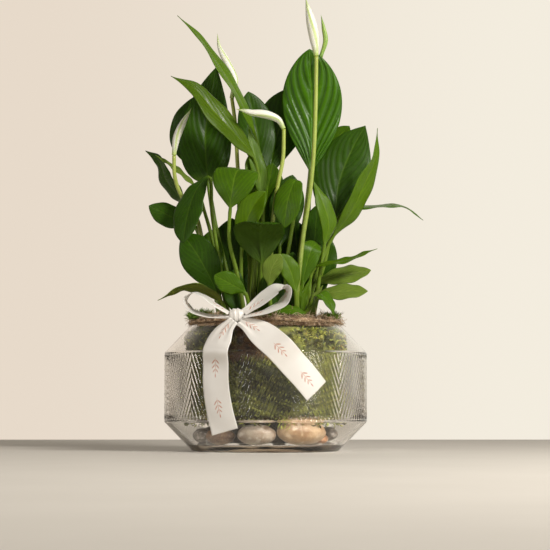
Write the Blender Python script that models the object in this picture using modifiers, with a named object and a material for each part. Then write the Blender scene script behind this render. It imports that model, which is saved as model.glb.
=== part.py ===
"""Potted peace lily in a cut-glass bowl, dressed with moss, pebbles and a satin bow.

Metres, +Z up, front towards -Y. The origin is the centre of the bowl's underside, which
is flat and is what the whole thing stands on. The bowl is turned. The soil, the moss
lining and the moss ring take their shape from the bowl's own profile. Leaves and flowers
are lofts along smooth ribs: they are listed in millimetres, sideways and in depth from
the bowl's axis and upwards from its mouth, and their stalks stand in sockets in the soil.
"""

import math
from collections import namedtuple

import bmesh
import bpy
import numpy as np
from mathutils import Vector

MM = 0.001
GAP = 0.3 * MM              # clearance between pieces that touch

# Glass bowl: foot, 45 degree flare, upright band, 45 degree shoulder, open mouth.
BOWL_RADIUS = 0.100         # at the band
FOOT_RADIUS = 0.072
MOUTH_RADIUS = 0.074        # outer edge of the mouth
FLARE_HEIGHT = 0.029
BAND_HEIGHT = 0.0675
SHOULDER_HEIGHT = 0.0275
BAND_BOTTOM = FLARE_HEIGHT
BAND_TOP = BAND_BOTTOM + BAND_HEIGHT
BOWL_HEIGHT = BAND_TOP + SHOULDER_HEIGHT
GLASS_WALL = 0.004
GLASS_FLOOR = 0.008
TURN_STEPS = 48

# Filling.
FILL_RADIUS = 0.079         # outside of the moss, which stands clear of the wider band
LINING_THICKNESS = 0.013    # sheet moss between the glass and the root ball
LINING_BOTTOM = 0.034       # the moss starts above the pebbles
PEBBLE_BELT = 0.022         # the root ball's foot stands this far inside the bowl's foot
PEBBLE_CLEARANCE = 0.0045   # between the root ball's foot and a pebble
SOIL_DROP = 0.006           # soil surface below the mouth
RING_WIDTH = 0.019          # moss ring laid over the mouth's edge
RING_OVERHANG = 0.003
RING_RISE = 0.005
SOCKET_DEPTH = 0.008        # how deep a stalk stands in the soil
ROOT_SPREAD = 0.058         # inner radius of the moss ring that the roots below are listed for

# Plant.
LEAF_THICKNESS = 0.0009
STALK_ROOT_RADIUS = 0.0024
STALK_TOP_RADIUS = 0.0016
STALK_STEPS = 5
BLADE_STEPS = 8
SECTION_SIDES = 8

# Bow.
RIBBON_WIDTH = 0.027
RIBBON_THICKNESS = 0.0007
RIBBON_PINCH = 0.013        # width where a loop is gathered into the knot
RIBBON_OPENING = 0.016      # length over which a loop or tail opens out of the knot
TAIL_LEAN = 0.85            # how far a tail leans back with the shoulder, as a share of it
KNOT_TURN = -18.8           # degrees round the bowl from the front, to the right
KNOT_OFF_MOSS = 0.0015
KNOT_RISE = 0.005           # centre above the mouth
KNOT_SIZE = Vector((0.015, 0.011, 0.014))
PICK_RADIUS = 0.001
PICK_DEPTH = 0.024          # how far the pick goes down past the mouth
PICK_INSET = 0.012          # from the moss ring's outer edge to the pick

# Where a blade is widest, from base 0 to tip 1, and how drawn out its tip is.
OVAL = (0.57, 0.80)
POINTED = (0.52, 1.0)
EGG = (0.35, 0.95)
LANCE = (0.45, 1.25)
DRIP = (0.40, 1.70)

Leaf = namedtuple("Leaf", "name root stalk blade width shape face fold colour")
Flower = namedtuple("Flower", "name root stem spathe width face fold colour")
Pebble = namedtuple("Pebble", "name turn length height depth colour")
Loop = namedtuple("Loop", "name path width")
Tail = namedtuple("Tail", "name start path")

DARK = (0.020, 0.065, 0.006)
MID = (0.050, 0.140, 0.010)
BRIGHT = (0.105, 0.235, 0.020)
OLIVE = (0.085, 0.110, 0.025)
SOIL_BROWN = (0.045, 0.026, 0.015)
MOSS_GREEN = (0.105, 0.125, 0.022)
FIBRE_BROWN = (0.160, 0.085, 0.045)
SATIN_WHITE = (0.860, 0.835, 0.800)
SPATHE_WHITE = (0.820, 0.800, 0.640)
STEM_GREEN = (0.330, 0.420, 0.075)

# root: on the soil. stalk: points on the way up. blade: from its base to its tip.
# face: the way the upper side looks. fold: degrees that each half rises from the midrib.
LEAVES = (
    Leaf("leaf_tall_right", (34, 10), ((38, 12, 80),),
         ((45, 12, 156), (47, 16, 218), (44, 6, 279)), 61, OVAL, (0, -1, 0.15), 6, MID),
    Leaf("leaf_long_left", (-8, 4), ((-3, 4, 100),),
         ((-9, 0, 184), (-26, -8, 226), (-48, -14, 261), (-70, -16, 291), (-88, -16, 308)),
         26, LANCE, (0.76, -0.45, 0.47), 14, BRIGHT),
    Leaf("leaf_broad_left", (-36, 4), ((-47, 10, 55), (-52, 11, 100)),
         ((-58, 12, 144), (-61, 16, 193), (-56, 18, 234), (-50, 12, 262)),
         53, EGG, (0.1, -1, 0.1), 8, DARK),
    Leaf("leaf_back_left", (-30, 18), ((-50, 24, 100),),
         ((-62, 28, 155), (-82, 34, 192), (-74, 38, 236)), 34, OVAL, (-0.2, -1, 0.1), 8, DARK),
    Leaf("leaf_bright_left", (-14, -6), ((-8, -8, 110),),
         ((-12, -12, 166), (-28, -22, 185), (-51, -30, 209), (-70, -34, 231), (-93, -36, 243)),
         31, LANCE, (0.45, -0.8, 0.5), 14, BRIGHT),
    Leaf("leaf_back_centre", (0, 18), ((-3, 19, 80),),
         ((-4, 20, 151), (-9, 26, 200), (-18, 24, 239)), 38, OVAL, (0.1, -1, 0.1), 8, DARK),
    Leaf("leaf_back_middle", (8, 34), ((5, 34, 80),),
         ((4, 36, 156), (13, 42, 202), (32, 44, 248)), 50, OVAL, (0, -1, 0.1), 8, DARK),
    Leaf("leaf_small_upper_right", (28, 32), ((42, 38, 90),),
         ((54, 42, 170), (70, 47, 188), (87, 50, 203)), 22, OVAL, (-0.3, -0.9, 0.4), 12, MID),
    Leaf("leaf_broad_right", (40, 18), ((55, 18, 45),),
         ((68, 18, 96), (75, 24, 149), (90, 26, 185), (101, 24, 204)),
         57, POINTED, (0.1, -1, 0.15), 6, DARK),
    Leaf("leaf_bright_right", (42, 0), ((54, -2, 60),),
         ((67, -2, 88), (83, -8, 109), (99, -12, 142), (108, -12, 162), (111, -14, 195)),
         31, DRIP, (0.7, -0.58, -0.42), 14, BRIGHT),
    Leaf("leaf_flat_right", (44, 8), ((58, 8, 60),),
         ((78, 8, 113), (112, 11, 120), (140, 12, 119), (158, 12, 106)),
         24, LANCE, (0.05, -0.25, 0.97), 10, MID),
    Leaf("leaf_thin_right", (36, -20), ((42, -19, 25),),
         ((49, -22, 56), (64, -26, 60), (83, -30, 63), (97, -32, 69), (109, -34, 73)),
         16, LANCE, (0.1, -0.45, 0.9), 14, BRIGHT),
    Leaf("leaf_low_right_back", (38, -9), ((43, -8, 18),),
         ((49, -7, 40), (69, -8, 48), (87, -10, 51), (104, -10, 54)),
         30, OVAL, (-0.1, -0.65, 0.75), 10, OLIVE),
    Leaf("leaf_low_right_front", (36, -30), ((41, -30, 10),),
         ((46, -31, 22), (63, -36, 30), (81, -40, 31), (99, -42, 31)),
         27, OVAL, (0, -0.65, 0.76), 10, OLIVE),
    Leaf("leaf_curled_right", (29, -43), ((37, -43, 8),),
         ((44, -44, 16), (53, -50, 28), (61, -54, 20), (66, -58, 6)),
         18, LANCE, (0.2, -0.5, 0.85), 14, MID),
    Leaf("leaf_forward_centre", (-6, -16), ((-6, -15, 25),),
         ((-4, -16, 60), (-6, -26, 82), (-6, -46, 95), (-2, -84, 92)),
         50, LANCE, (0, 0.5, 0.85), 8, DARK),
    Leaf("leaf_veined_left", (-20, -36), ((-28, -38, 50), (-35, -42, 80)),
         ((-34, -46, 112), (-32, -50, 130), (-28, -44, 147), (-14, -12, 150)),
         46, LANCE, (-0.15, -0.8, 0.6), 8, MID),
    Leaf("leaf_drooping_left", (-36, -10), ((-44, -15, 50), (-53, -16, 110)),
         ((-57, -16, 146), (-65, -23, 137), (-75, -28, 113), (-78, -33, 97), (-80, -38, 78)),
         31, OVAL, (-0.7, -0.62, 0.35), 10, DARK),
    Leaf("leaf_side_left", (-46, -2), ((-57, -1, 60),),
         ((-72, 0, 100), (-91, 4, 107), (-105, 6, 114), (-117, 6, 120)),
         25, OVAL, (0, -0.95, 0.3), 8, DARK),
    Leaf("leaf_hanging_left", (-44, 14), ((-56, 14, 60), (-70, 13, 98)),
         ((-84, 15, 126), (-101, 18, 148), (-109, 20, 168), (-122, 22, 178)),
         25, EGG, (-0.7, -0.5, -0.4), 10, DARK),
    Leaf("leaf_edgewise_left", (-28, 4), ((-44, 1, 50), (-60, 0, 110)),
         ((-70, 1, 138), (-84, 2, 152), (-97, 2, 162), (-110, 0, 170)),
         16, LANCE, (0.5, -0.4, 0.75), 12, OLIVE),
    Leaf("leaf_low_left", (-38, -18), ((-43, -17, 12),),
         ((-48, -18, 31), (-60, -24, 56), (-73, -26, 77), (-82, -24, 88)),
         37, OVAL, (-0.2, -0.95, 0.2), 8, DARK),
    Leaf("leaf_arching_left", (-32, -32), ((-38, -35, 8),),
         ((-42, -38, 20), (-57, -46, 31), (-75, -52, 34), (-103, -58, 21)),
         20, LANCE, (-0.1, 0.35, 0.93), 10, OLIVE),
    Leaf("leaf_small_front", (-12, -46), ((-15, -49, 10),),
         ((-20, -52, 29), (-32, -58, 36), (-49, -60, 45)),
         22, OVAL, (0.2, -0.95, -0.2), 10, MID),
    Leaf("leaf_olive_front", (6, -42), ((5, -43, 15),),
         ((4, -46, 36), (6, -50, 52), (15, -52, 66)), 20, OVAL, (0, -1, 0.1), 10, OLIVE),
    Leaf("leaf_bright_front", (24, -34), ((29, -39, 12),),
         ((29, -43, 31), (25, -46, 48), (16, -47, 67)),
         20, OVAL, (0.2, -0.95, 0.1), 10, BRIGHT),
    Leaf("leaf_drooping_centre", (18, -18), ((21, -18, 60), (29, -16, 112)),
         ((33, -20, 132), (29, -28, 131), (23, -34, 117), (19, -35, 93)),
         30, OVAL, (-0.1, -0.6, 0.8), 10, MID),
    Leaf("leaf_bent_right", (46, -16), ((52, -18, 40),),
         ((58, -19, 79), (62, -22, 98), (55, -25, 122), (47, -23, 141)),
         21, LANCE, (0.5, -0.8, 0.1), 12, BRIGHT),
    Leaf("leaf_dark_right", (30, 0), ((40, 0, 25),),
         ((48, 3, 58), (49, 5, 87), (52, 5, 121)), 26, OVAL, (0, -1, 0), 8, DARK),
    Leaf("leaf_middle_right", (27, -17), ((34, -22, 15),),
         ((36, -26, 38), (40, -28, 58), (46, -26, 75), (54, -12, 80)),
         22, OVAL, (0.1, -0.95, 0.1), 10, MID),
    Leaf("leaf_bright_centre", (-16, 8), ((-13, 4, 70),),
         ((-8, -3, 134), (-12, -6, 153), (-9, -5, 176)),
         19, OVAL, (0.3, -0.9, 0.2), 14, BRIGHT),
    Leaf("leaf_folded_centre", (-22, -18), ((-24, -13, 40),),
         ((-23, -14, 79), (-19, -20, 101), (-11, -22, 118), (0, -22, 131)),
         28, OVAL, (-0.1, -0.95, 0.2), 26, BRIGHT),
)

FLOWERS = (
    Flower("left", (-46, -10), ((-52, -8, 53), (-62, -6, 81), (-70, -6, 110), (-83, -6, 127),
                                (-90, -9, 146), (-91, -11, 168)),
           ((-88, -12, 186), (-82, -13, 200), (-73, -14, 216)), 11, (-0.4, -0.9, 0.2), 40,
           SPATHE_WHITE),
    Flower("level", (4, -8), ((5, -7, 60), (7, -18, 100), (12, -26, 137), (17, -26, 162),
                              (18, -26, 192)),
           ((13, -27, 201), (2, -29, 206), (-15, -31, 208), (-30, -33, 211)), 12,
           (0.1, -0.45, -0.85), 40, SPATHE_WHITE),
    Flower("back_left", (-18, 14), ((-16, 10, 66), (-21, 6, 111), (-27, 5, 148), (-31, 4, 206),
                                    (-34, 4, 228)),
           ((-31, 4, 246), (-38, 4, 263), (-47, 3, 282), (-49, 2, 295)), 11,
           (0.3, -0.9, 0.2), 40, SPATHE_WHITE),
    Flower("tall", (30, -26), ((31, -33, 33), (34, -34, 61), (37, -34, 87), (41, -34, 112),
                               (44, -34, 133), (47, -34, 165), (49, -34, 210), (50, -34, 263)),
           ((47, -35, 288), (43, -36, 306), (39, -36, 322)), 15, (-0.3, -0.95, 0), 36,
           SPATHE_WHITE),
    Flower("bud", (22, 14), ((32, 26, 60), (42, 29, 130), (50, 28, 212), (56, 26, 275)),
           ((61, 26, 293), (59, 26, 305), (56, 24, 319)), 7, (-0.2, -0.95, 0.1), 40,
           BRIGHT),
)

# turn: degrees round the bowl from the front, to the right.
PEBBLES = (
    Pebble("pebble_tan", 31, 52, 25, 23, (0.50, 0.36, 0.24)),
    Pebble("pebble_white", -7, 37, 20, 22, (0.70, 0.68, 0.63)),
    Pebble("pebble_brown", -41, 33, 17, 20, (0.30, 0.19, 0.11)),
    Pebble("pebble_grey", -76, 29, 15, 18, (0.26, 0.22, 0.18)),
    Pebble("pebble_orange", 66, 13, 9, 11, (0.48, 0.24, 0.11)),
)

# A loop leaves the knot and comes back to it: millimetres from the knot's centre.
# width: the direction in which the ribbon's width lies.
LOOPS = (
    Loop("ribbon_loop_left",
         ((-10.8, -0.5, 3), (-23, 0.5, 10), (-34, 1.5, 17), (-43, 1.5, 20), (-49, 0.5, 14),
          (-39, -1.5, 3), (-24, -1.5, -2), (-10.8, -0.5, -2)), (0.35, 0.80, 0.45)),
    Loop("ribbon_loop_right",
         ((11.4, -1.5, 4), (20, 0, 11), (30, 1, 20), (39, 2, 26), (46, 1, 25),
          (45, -2, 17), (31, -5, 10), (11.4, -4, 1.5)), (0.45, 0.80, -0.40)),
)

# A tail starts at the knot, in millimetres from its centre, and then follows the glass:
# degrees round the bowl from the front, millimetres below the mouth and off the glass.
# It bends over the band's top edge, and above that the distance is square to the shoulder.
BEND = SHOULDER_HEIGHT / MM
TAILS = (
    Tail("ribbon_tail_left", (-6, -8.5, -8),
         ((-23.6, 8, 9.4), (-26, 18, 5.8), (-26.6, BEND, 3.3), (-26.8, 40, 3), (-26.8, 58, 3),
          (-25, 80, 3), (-21.4, 104, 3))),
    Tail("ribbon_tail_right", (7, -9.5, -8),
         ((-5, 8, 8), (2.4, 18, 7), (7.8, BEND, 4.6), (14.5, 40, 3), (21.5, 53, 3),
          (28, 66, 3))),
)


def clear_scene():
    for obj in list(bpy.data.objects):
        bpy.data.objects.remove(obj)


def new_collection(name):
    collection = bpy.data.collections.new(name)
    bpy.context.scene.collection.children.link(collection)
    return collection


def paint(obj, colour, roughness, transmission=0.0):
    """Gives the piece its own Principled material."""
    material = bpy.data.materials.new(obj.name)
    material.use_nodes = True
    shader = material.node_tree.nodes["Principled BSDF"]
    shader.inputs["Base Color"].default_value = (*colour, 1)
    shader.inputs["Roughness"].default_value = roughness
    shader.inputs["Metallic"].default_value = 0
    shader.inputs["Transmission Weight"].default_value = transmission
    material.diffuse_color = (*colour, 1)
    obj.data.materials.append(material)
    return obj


def turned(name, profile, collection):
    """Turns a profile of (radius, height) points, which run down the outer side, round Z."""
    mesh = bpy.data.meshes.new(name)
    closed = profile[0][0] > 0
    edges = [(i, i + 1) for i in range(len(profile) - 1)]
    if closed:
        edges.append((len(profile) - 1, 0))
    mesh.from_pydata([(radius, 0, height) for radius, height in profile], edges, [])
    obj = bpy.data.objects.new(name, mesh)
    collection.objects.link(obj)
    screw = obj.modifiers.new("Screw", "SCREW")
    screw.steps = screw.render_steps = TURN_STEPS
    screw.use_merge_vertices = True
    screw.merge_threshold = 0.0001
    screw.use_smooth_shade = True
    return obj


def glass_radius(height, inset, widest=BOWL_RADIUS):
    """Radius of the bowl's outer profile at a height, moved in by a distance square to it.

    A widest under the band's radius gives what stands upright inside the same bowl.
    """
    flare = (BOWL_RADIUS - FOOT_RADIUS) / BAND_BOTTOM
    shoulder = (BOWL_RADIUS - MOUTH_RADIUS) / SHOULDER_HEIGHT
    return min(
        FOOT_RADIUS + flare * height - inset * math.hypot(1, flare),
        widest - inset,
        MOUTH_RADIUS + shoulder * (BOWL_HEIGHT - height) - inset * math.hypot(1, shoulder),
    )


def corner_height(low, high, inset, widest, rising):
    """Height where the widest part meets the flare (rising) or the shoulder, at an inset."""
    for _ in range(40):
        middle = (low + high) / 2
        on_band = glass_radius(middle, inset, widest) > widest - inset - 1e-9
        low, high = (low, middle) if on_band == rising else (middle, high)
    return (low + high) / 2


def wall_heights(bottom, top, inset, widest=BOWL_RADIUS):
    """Heights of the corners of that profile between bottom and top, from the top down."""
    middle = (BAND_BOTTOM + BAND_TOP) / 2
    upper = corner_height(middle, BOWL_HEIGHT, inset, widest, False)
    lower = corner_height(0, middle, inset, widest, True)
    return [top, upper, lower, bottom] if bottom < lower else [top, upper, bottom]


def build_bowl(collection):
    outer = [(glass_radius(z, 0), z) for z in wall_heights(0, BOWL_HEIGHT, 0)]
    inner = [(glass_radius(z, GLASS_WALL), z)
             for z in wall_heights(GLASS_FLOOR, BOWL_HEIGHT, GLASS_WALL)]
    profile = [(0, GLASS_FLOOR), *reversed(inner), *outer, (0, 0)]
    return paint(turned("glass_bowl", profile, collection), (0.80, 0.79, 0.76), 0.03, 1.0)


def soil_top():
    return BOWL_HEIGHT - SOIL_DROP


def ball_foot():
    return FOOT_RADIUS - PEBBLE_BELT


def fill_wall(bottom, top, depth):
    """(radius, height) down the filling's side, at a depth inside the moss's outer face."""
    inset = GLASS_WALL + GAP
    widest = FILL_RADIUS + inset
    return [(glass_radius(z, inset, widest) - depth, z)
            for z in wall_heights(bottom, top, inset, widest)]


def build_root_ball(collection):
    top = soil_top()
    shoulder = LINING_BOTTOM + GAP
    walls = fill_wall(shoulder, top, LINING_THICKNESS + GAP)
    bottom = GLASS_FLOOR + GAP
    foot = [(ball_foot(), shoulder), (ball_foot(), bottom), (0, bottom)]
    profile = [(0, top), *walls, *foot]
    return paint(turned("root_ball", profile, collection), SOIL_BROWN, 0.95)


def build_moss_lining(collection):
    top = soil_top() - GAP
    outer = fill_wall(LINING_BOTTOM, top, 0)
    inner = fill_wall(LINING_BOTTOM, top, LINING_THICKNESS)
    profile = [*outer, *reversed(inner)]
    return paint(turned("moss_lining", profile, collection), MOSS_GREEN, 0.95)


def ring_brim():
    return MOUTH_RADIUS + RING_OVERHANG


def ring_inner():
    return ring_brim() - RING_WIDTH


def build_moss_ring(collection):
    """A mat that fills the mouth's edge, laps over the rim and leaves the middle to the stalks."""
    seat = BOWL_HEIGHT + GAP
    top = BOWL_HEIGHT + RING_RISE
    mouth = glass_radius(BOWL_HEIGHT, GLASS_WALL) - 2 * GAP
    shoulder = 0.3 * RING_WIDTH
    profile = (
        (ring_brim() - shoulder, top),
        (ring_brim(), (seat + top) / 2),
        (ring_brim(), seat),
        (mouth, seat),
        (mouth, soil_top() + GAP),
        (ring_inner(), soil_top() + GAP),
        (ring_inner(), seat),
        (ring_inner() + shoulder, top),
    )
    return paint(turned("moss_ring", profile, collection), FIBRE_BROWN, 0.95)


def round_axis(turn, radius, height):
    """The point at a turn in radians from the front, to the right, round the bowl's axis."""
    return Vector((radius * math.sin(turn), -radius * math.cos(turn), height))


def ellipsoid(name, centre, size, turn, collection):
    """A closed egg of the given whole sizes, with its long side turned about Z."""
    mesh = bpy.data.meshes.new(name)
    bm = bmesh.new()
    bmesh.ops.create_uvsphere(bm, u_segments=14, v_segments=8, radius=0.5)
    bmesh.ops.scale(bm, vec=size, verts=bm.verts)
    bm.to_mesh(mesh)
    bm.free()
    mesh.shade_smooth()
    obj = bpy.data.objects.new(name, mesh)
    obj.location = centre
    obj.rotation_euler.z = turn
    collection.objects.link(obj)
    return obj


def build_pebbles(collection):
    for pebble in PEBBLES:
        turn = math.radians(pebble.turn)
        size = Vector((pebble.length, pebble.depth, pebble.height)) * MM
        height = GLASS_FLOOR + GAP + size.z / 2
        orbit = ball_foot() + PEBBLE_CLEARANCE + size.y / 2
        centre = round_axis(turn, orbit, height)
        paint(ellipsoid(pebble.name, centre, size, turn, collection), pebble.colour, 0.55)


def build_tufts(collection):
    """Two small clumps of live moss on the ring, left and right."""
    top = BOWL_HEIGHT + RING_RISE + GAP
    left = Vector((0.018, 0.014, 0.007))
    right = Vector((0.016, 0.011, 0.010))
    orbit = (ring_inner() + ring_brim()) / 2
    for name, size, turn in (("moss_tuft_left", left, -70), ("moss_tuft_right", right, 70)):
        turn = math.radians(turn)
        centre = round_axis(turn, orbit, top + size.z / 2)
        paint(ellipsoid(name, centre, size, turn, collection), MOSS_GREEN, 0.9)


def smooth_path(points, stations):
    """Points on a smooth curve through the given ones, at distances measured along them."""
    points = np.array(points, float)
    spans = np.linalg.norm(np.diff(points, axis=0), axis=1)
    knots = np.concatenate([[0], np.cumsum(spans)])
    slopes = np.gradient(points, knots, axis=0)
    index = np.clip(np.searchsorted(knots, stations, side="right") - 1, 0, len(spans) - 1)
    span = spans[index][:, None]
    t = (stations[:, None] - knots[index][:, None]) / span
    start = (1 + 2 * t) * (1 - t) ** 2 * points[index] + t * (1 - t) ** 2 * span * slopes[index]
    end = t * t * (3 - 2 * t) * points[index + 1] + t * t * (t - 1) * span * slopes[index + 1]
    return start + end


def distance_along(points):
    """Distance of each point from the first, measured from point to point."""
    spans = np.linalg.norm(np.diff(np.array(points, float), axis=0), axis=1)
    return np.concatenate([[0], np.cumsum(spans)])


def unit(vector):
    return vector / np.linalg.norm(vector)


def tangents_of(path):
    return [unit(tangent) for tangent in np.gradient(path, axis=0)]


def carried_sides(path, face, middle):
    """Across and upward vectors of a rib whose upper side looks along face at its middle.

    They are carried from there to both ends without a twist.
    """
    tangents = tangents_of(path)
    across = [None] * len(path)
    across[middle] = unit(np.cross(tangents[middle], face))
    below = [(i, i + 1) for i in range(middle - 1, -1, -1)]
    above = [(i, i - 1) for i in range(middle + 1, len(path))]
    for i, known in below + above:
        across[i] = unit(across[known] - np.dot(across[known], tangents[i]) * tangents[i])
    upward = [np.cross(side, tangent) for side, tangent in zip(across, tangents)]
    return across, upward


def loft(name, rings, collection):
    """One closed body through rings with equal numbers of points, capped at both ends."""
    count = len(rings[0])
    faces = [tuple(reversed(range(count)))]
    for ring in range(len(rings) - 1):
        for i in range(count):
            a = ring * count + i
            b = ring * count + (i + 1) % count
            faces.append((a, b, b + count, a + count))
    last = (len(rings) - 1) * count
    faces.append(tuple(range(last, last + count)))
    mesh = bpy.data.meshes.new(name)
    mesh.from_pydata([point for ring in rings for point in ring], [], faces)
    bm = bmesh.new()
    bm.from_mesh(mesh)
    bmesh.ops.recalc_face_normals(bm, faces=bm.faces)
    bm.to_mesh(mesh)
    bm.free()
    mesh.shade_smooth()
    obj = bpy.data.objects.new(name, mesh)
    collection.objects.link(obj)
    return obj


def blade_share(s, shape):
    """Width of a blade at s, from its base at 0 to its tip at 1, as a share of its widest."""
    widest_at, tip_power = shape
    base_power = tip_power * widest_at / (1 - widest_at)
    widest = widest_at ** base_power * (1 - widest_at) ** tip_power
    return s ** base_power * (1 - s) ** tip_power / widest


def blade_section(s, width, shape, fold, stalk_radius):
    """A section at s of the blade, as (across, up) points: round at the base, a folded lens."""
    share = blade_share(min(s, 0.985), shape)
    half_width = stalk_radius * (1 - s) * math.exp(-8 * s) + 0.5 * width * share
    half_thickness = LEAF_THICKNESS / 2 + (stalk_radius - LEAF_THICKNESS / 2) * math.exp(-14 * s)
    half_width = max(half_width, LEAF_THICKNESS)
    lean = math.radians(fold) * (1 - math.exp(-6 * s))
    section = []
    for k in range(SECTION_SIDES):
        angle = 2 * math.pi * k / SECTION_SIDES
        reach = half_width * math.cos(angle)
        rise = abs(reach) * math.sin(lean) + half_thickness * math.sin(angle)
        section.append((reach * math.cos(lean), rise))
    return section


def round_section(radius):
    angles = [2 * math.pi * k / SECTION_SIDES for k in range(SECTION_SIDES)]
    return [(radius * math.cos(angle), radius * math.sin(angle)) for angle in angles]


def from_mouth(points):
    """Points listed in millimetres from the bowl's axis and mouth, in metres from the origin."""
    return [np.array((x, y, z)) * MM + (0, 0, BOWL_HEIGHT) for x, y, z in points]


def rooted(root):
    """The straight foot of a stalk: from the bottom of its socket to just above the soil."""
    scale = MM * ring_inner() / ROOT_SPREAD
    x, y = root[0] * scale, root[1] * scale
    heights = (soil_top() - SOCKET_DEPTH, soil_top() - SOCKET_DEPTH / 2, soil_top() + 0.003)
    return [np.array((x, y, z)) for z in heights]


def build_leaf(leaf, collection):
    """Stalk and blade in one loft along the leaf's midrib."""
    stalk = rooted(leaf.root) + from_mouth(leaf.stalk)
    points = stalk + from_mouth(leaf.blade)
    knots = distance_along(points)
    base = knots[len(stalk)]
    foot = knots[2]
    stations = np.concatenate([
        [0, foot],
        np.linspace(foot, base, STALK_STEPS)[1:],
        np.linspace(base, knots[-1], BLADE_STEPS + 1)[1:],
    ])
    path = smooth_path(points, stations)
    first = len(stations) - BLADE_STEPS - 1
    across, upward = carried_sides(path, leaf.face, first + BLADE_STEPS // 2)
    rings = []
    for i, centre in enumerate(path):
        if i < first:
            share = stations[i] / base
            radius = STALK_ROOT_RADIUS + (STALK_TOP_RADIUS - STALK_ROOT_RADIUS) * share
            section = round_section(radius)
        else:
            s = (i - first) / BLADE_STEPS
            section = blade_section(s, leaf.width * MM, leaf.shape, leaf.fold, STALK_TOP_RADIUS)
        rings.append([centre + a * across[i] + b * upward[i] for a, b in section])
    obj = loft(leaf.name, rings, collection)
    return paint(obj, leaf.colour, 0.38)


def tube(name, path, radii, collection):
    """A round stem: a poly curve with a bevel, its thickness set at each point."""
    curve = bpy.data.curves.new(name, "CURVE")
    curve.dimensions = "3D"
    curve.bevel_depth = 1.0
    curve.bevel_resolution = 2
    curve.use_fill_caps = True
    spline = curve.splines.new("POLY")
    spline.points.add(len(path) - 1)
    for point, place, radius in zip(spline.points, path, radii):
        point.co = (*place, 1)
        point.radius = radius
    spline.use_smooth = True
    obj = bpy.data.objects.new(name, curve)
    collection.objects.link(obj)
    return obj


def build_flower(flower, collection):
    """A round stem, and a furled spathe that starts a hair above the stem's end."""
    points = rooted(flower.root) + from_mouth(flower.stem)
    knots = distance_along(points)
    stations = np.concatenate([[0], np.linspace(knots[2], knots[-1], 3 * len(flower.stem))])
    path = smooth_path(points, stations)
    radii = np.linspace(STALK_ROOT_RADIUS, STALK_TOP_RADIUS * 1.15, len(path))
    stem = tube("flower_stem_" + flower.name, path, radii, collection)
    paint(stem, STEM_GREEN, 0.4)

    lift = unit(path[-1] - path[-2]) * (STALK_TOP_RADIUS + 2 * GAP)
    blade = [path[-1] + lift] + from_mouth(flower.spathe)
    length = distance_along(blade)[-1]
    rib = smooth_path(blade, np.linspace(0, length, BLADE_STEPS + 1))
    across, upward = carried_sides(rib, flower.face, BLADE_STEPS // 2)
    rings = []
    for i, centre in enumerate(rib):
        s = i / BLADE_STEPS
        section = blade_section(s, flower.width * MM, LANCE, flower.fold, STALK_TOP_RADIUS)
        rings.append([centre + a * across[i] + b * upward[i] for a, b in section])
    spathe = loft("flower_spathe_" + flower.name, rings, collection)
    paint(spathe, flower.colour, 0.45)


def knot_centre():
    """In front of the moss ring's brim, a little above the mouth."""
    radius = ring_brim() + KNOT_OFF_MOSS + KNOT_SIZE.y / 2
    return round_axis(math.radians(KNOT_TURN), radius, BOWL_HEIGHT + KNOT_RISE)


def from_knot(points):
    return [np.array(knot_centre()) + np.array(point) * MM for point in points]


def off_glass(turn, drop, off):
    """A point outside the glass; below the band's top a ribbon hangs straight down."""
    height = BOWL_HEIGHT - drop * MM
    radius = BOWL_RADIUS + off * MM
    if drop <= BEND:
        radius = glass_radius(height, -off * MM, math.inf)
    return np.array(round_axis(math.radians(turn), radius, height))


def ribbon_strip(name, path, faces, openings, collection):
    """A flat strip whose upper side looks along faces, from pinched 0 to fully open 1."""
    rings = []
    for centre, tangent, face, opening in zip(path, tangents_of(path), faces, openings):
        side = unit(np.cross(tangent, face))
        up = np.cross(side, tangent)
        half = side * (RIBBON_PINCH + (RIBBON_WIDTH - RIBBON_PINCH) * opening) / 2
        rise = up * RIBBON_THICKNESS / 2
        rings.append([centre - half - rise, centre + half - rise,
                      centre + half + rise, centre - half + rise])
    paint(loft(name, rings, collection), SATIN_WHITE, 0.35)


def opening_at(distance):
    return 1 - math.exp(-(distance / RIBBON_OPENING) ** 2)


def build_loop(loop, collection):
    points = from_knot(loop.path)
    length = distance_along(points)[-1]
    stations = np.linspace(0, length, 3 * len(points))
    path = smooth_path(points, stations)
    faces = [np.cross(loop.width, tangent) for tangent in tangents_of(path)]
    openings = [opening_at(min(at, length - at)) for at in stations]
    ribbon_strip(loop.name, path, faces, openings, collection)


def build_tail(tail, collection):
    points = from_knot([tail.start]) + [off_glass(*point) for point in tail.path]
    stations = np.linspace(0, distance_along(points)[-1], 3 * len(points))
    path = smooth_path(points, stations)
    slope = (BOWL_RADIUS - MOUTH_RADIUS) / SHOULDER_HEIGHT
    faces = []
    for x, y, z in path:
        lift = np.clip((z - BAND_TOP) / SHOULDER_HEIGHT, 0, 1)
        faces.append(unit(np.array((x, y, 0))) + (0, 0, TAIL_LEAN * slope * lift))
    openings = [opening_at(at) for at in stations]
    ribbon_strip(tail.name, path, faces, openings, collection)


def build_knot(collection):
    """The bow's knot: a rounded block of wound ribbon."""
    mesh = bpy.data.meshes.new("ribbon_knot")
    bm = bmesh.new()
    bmesh.ops.create_cube(bm, size=1)
    bmesh.ops.scale(bm, vec=KNOT_SIZE, verts=bm.verts)
    bm.to_mesh(mesh)
    bm.free()
    obj = bpy.data.objects.new("ribbon_knot", mesh)
    obj.location = knot_centre()
    collection.objects.link(obj)
    bevel = obj.modifiers.new("Bevel", "BEVEL")
    bevel.width = 0.0035
    bevel.segments = 3
    mesh.shade_smooth()
    paint(obj, SATIN_WHITE, 0.35)


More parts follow.
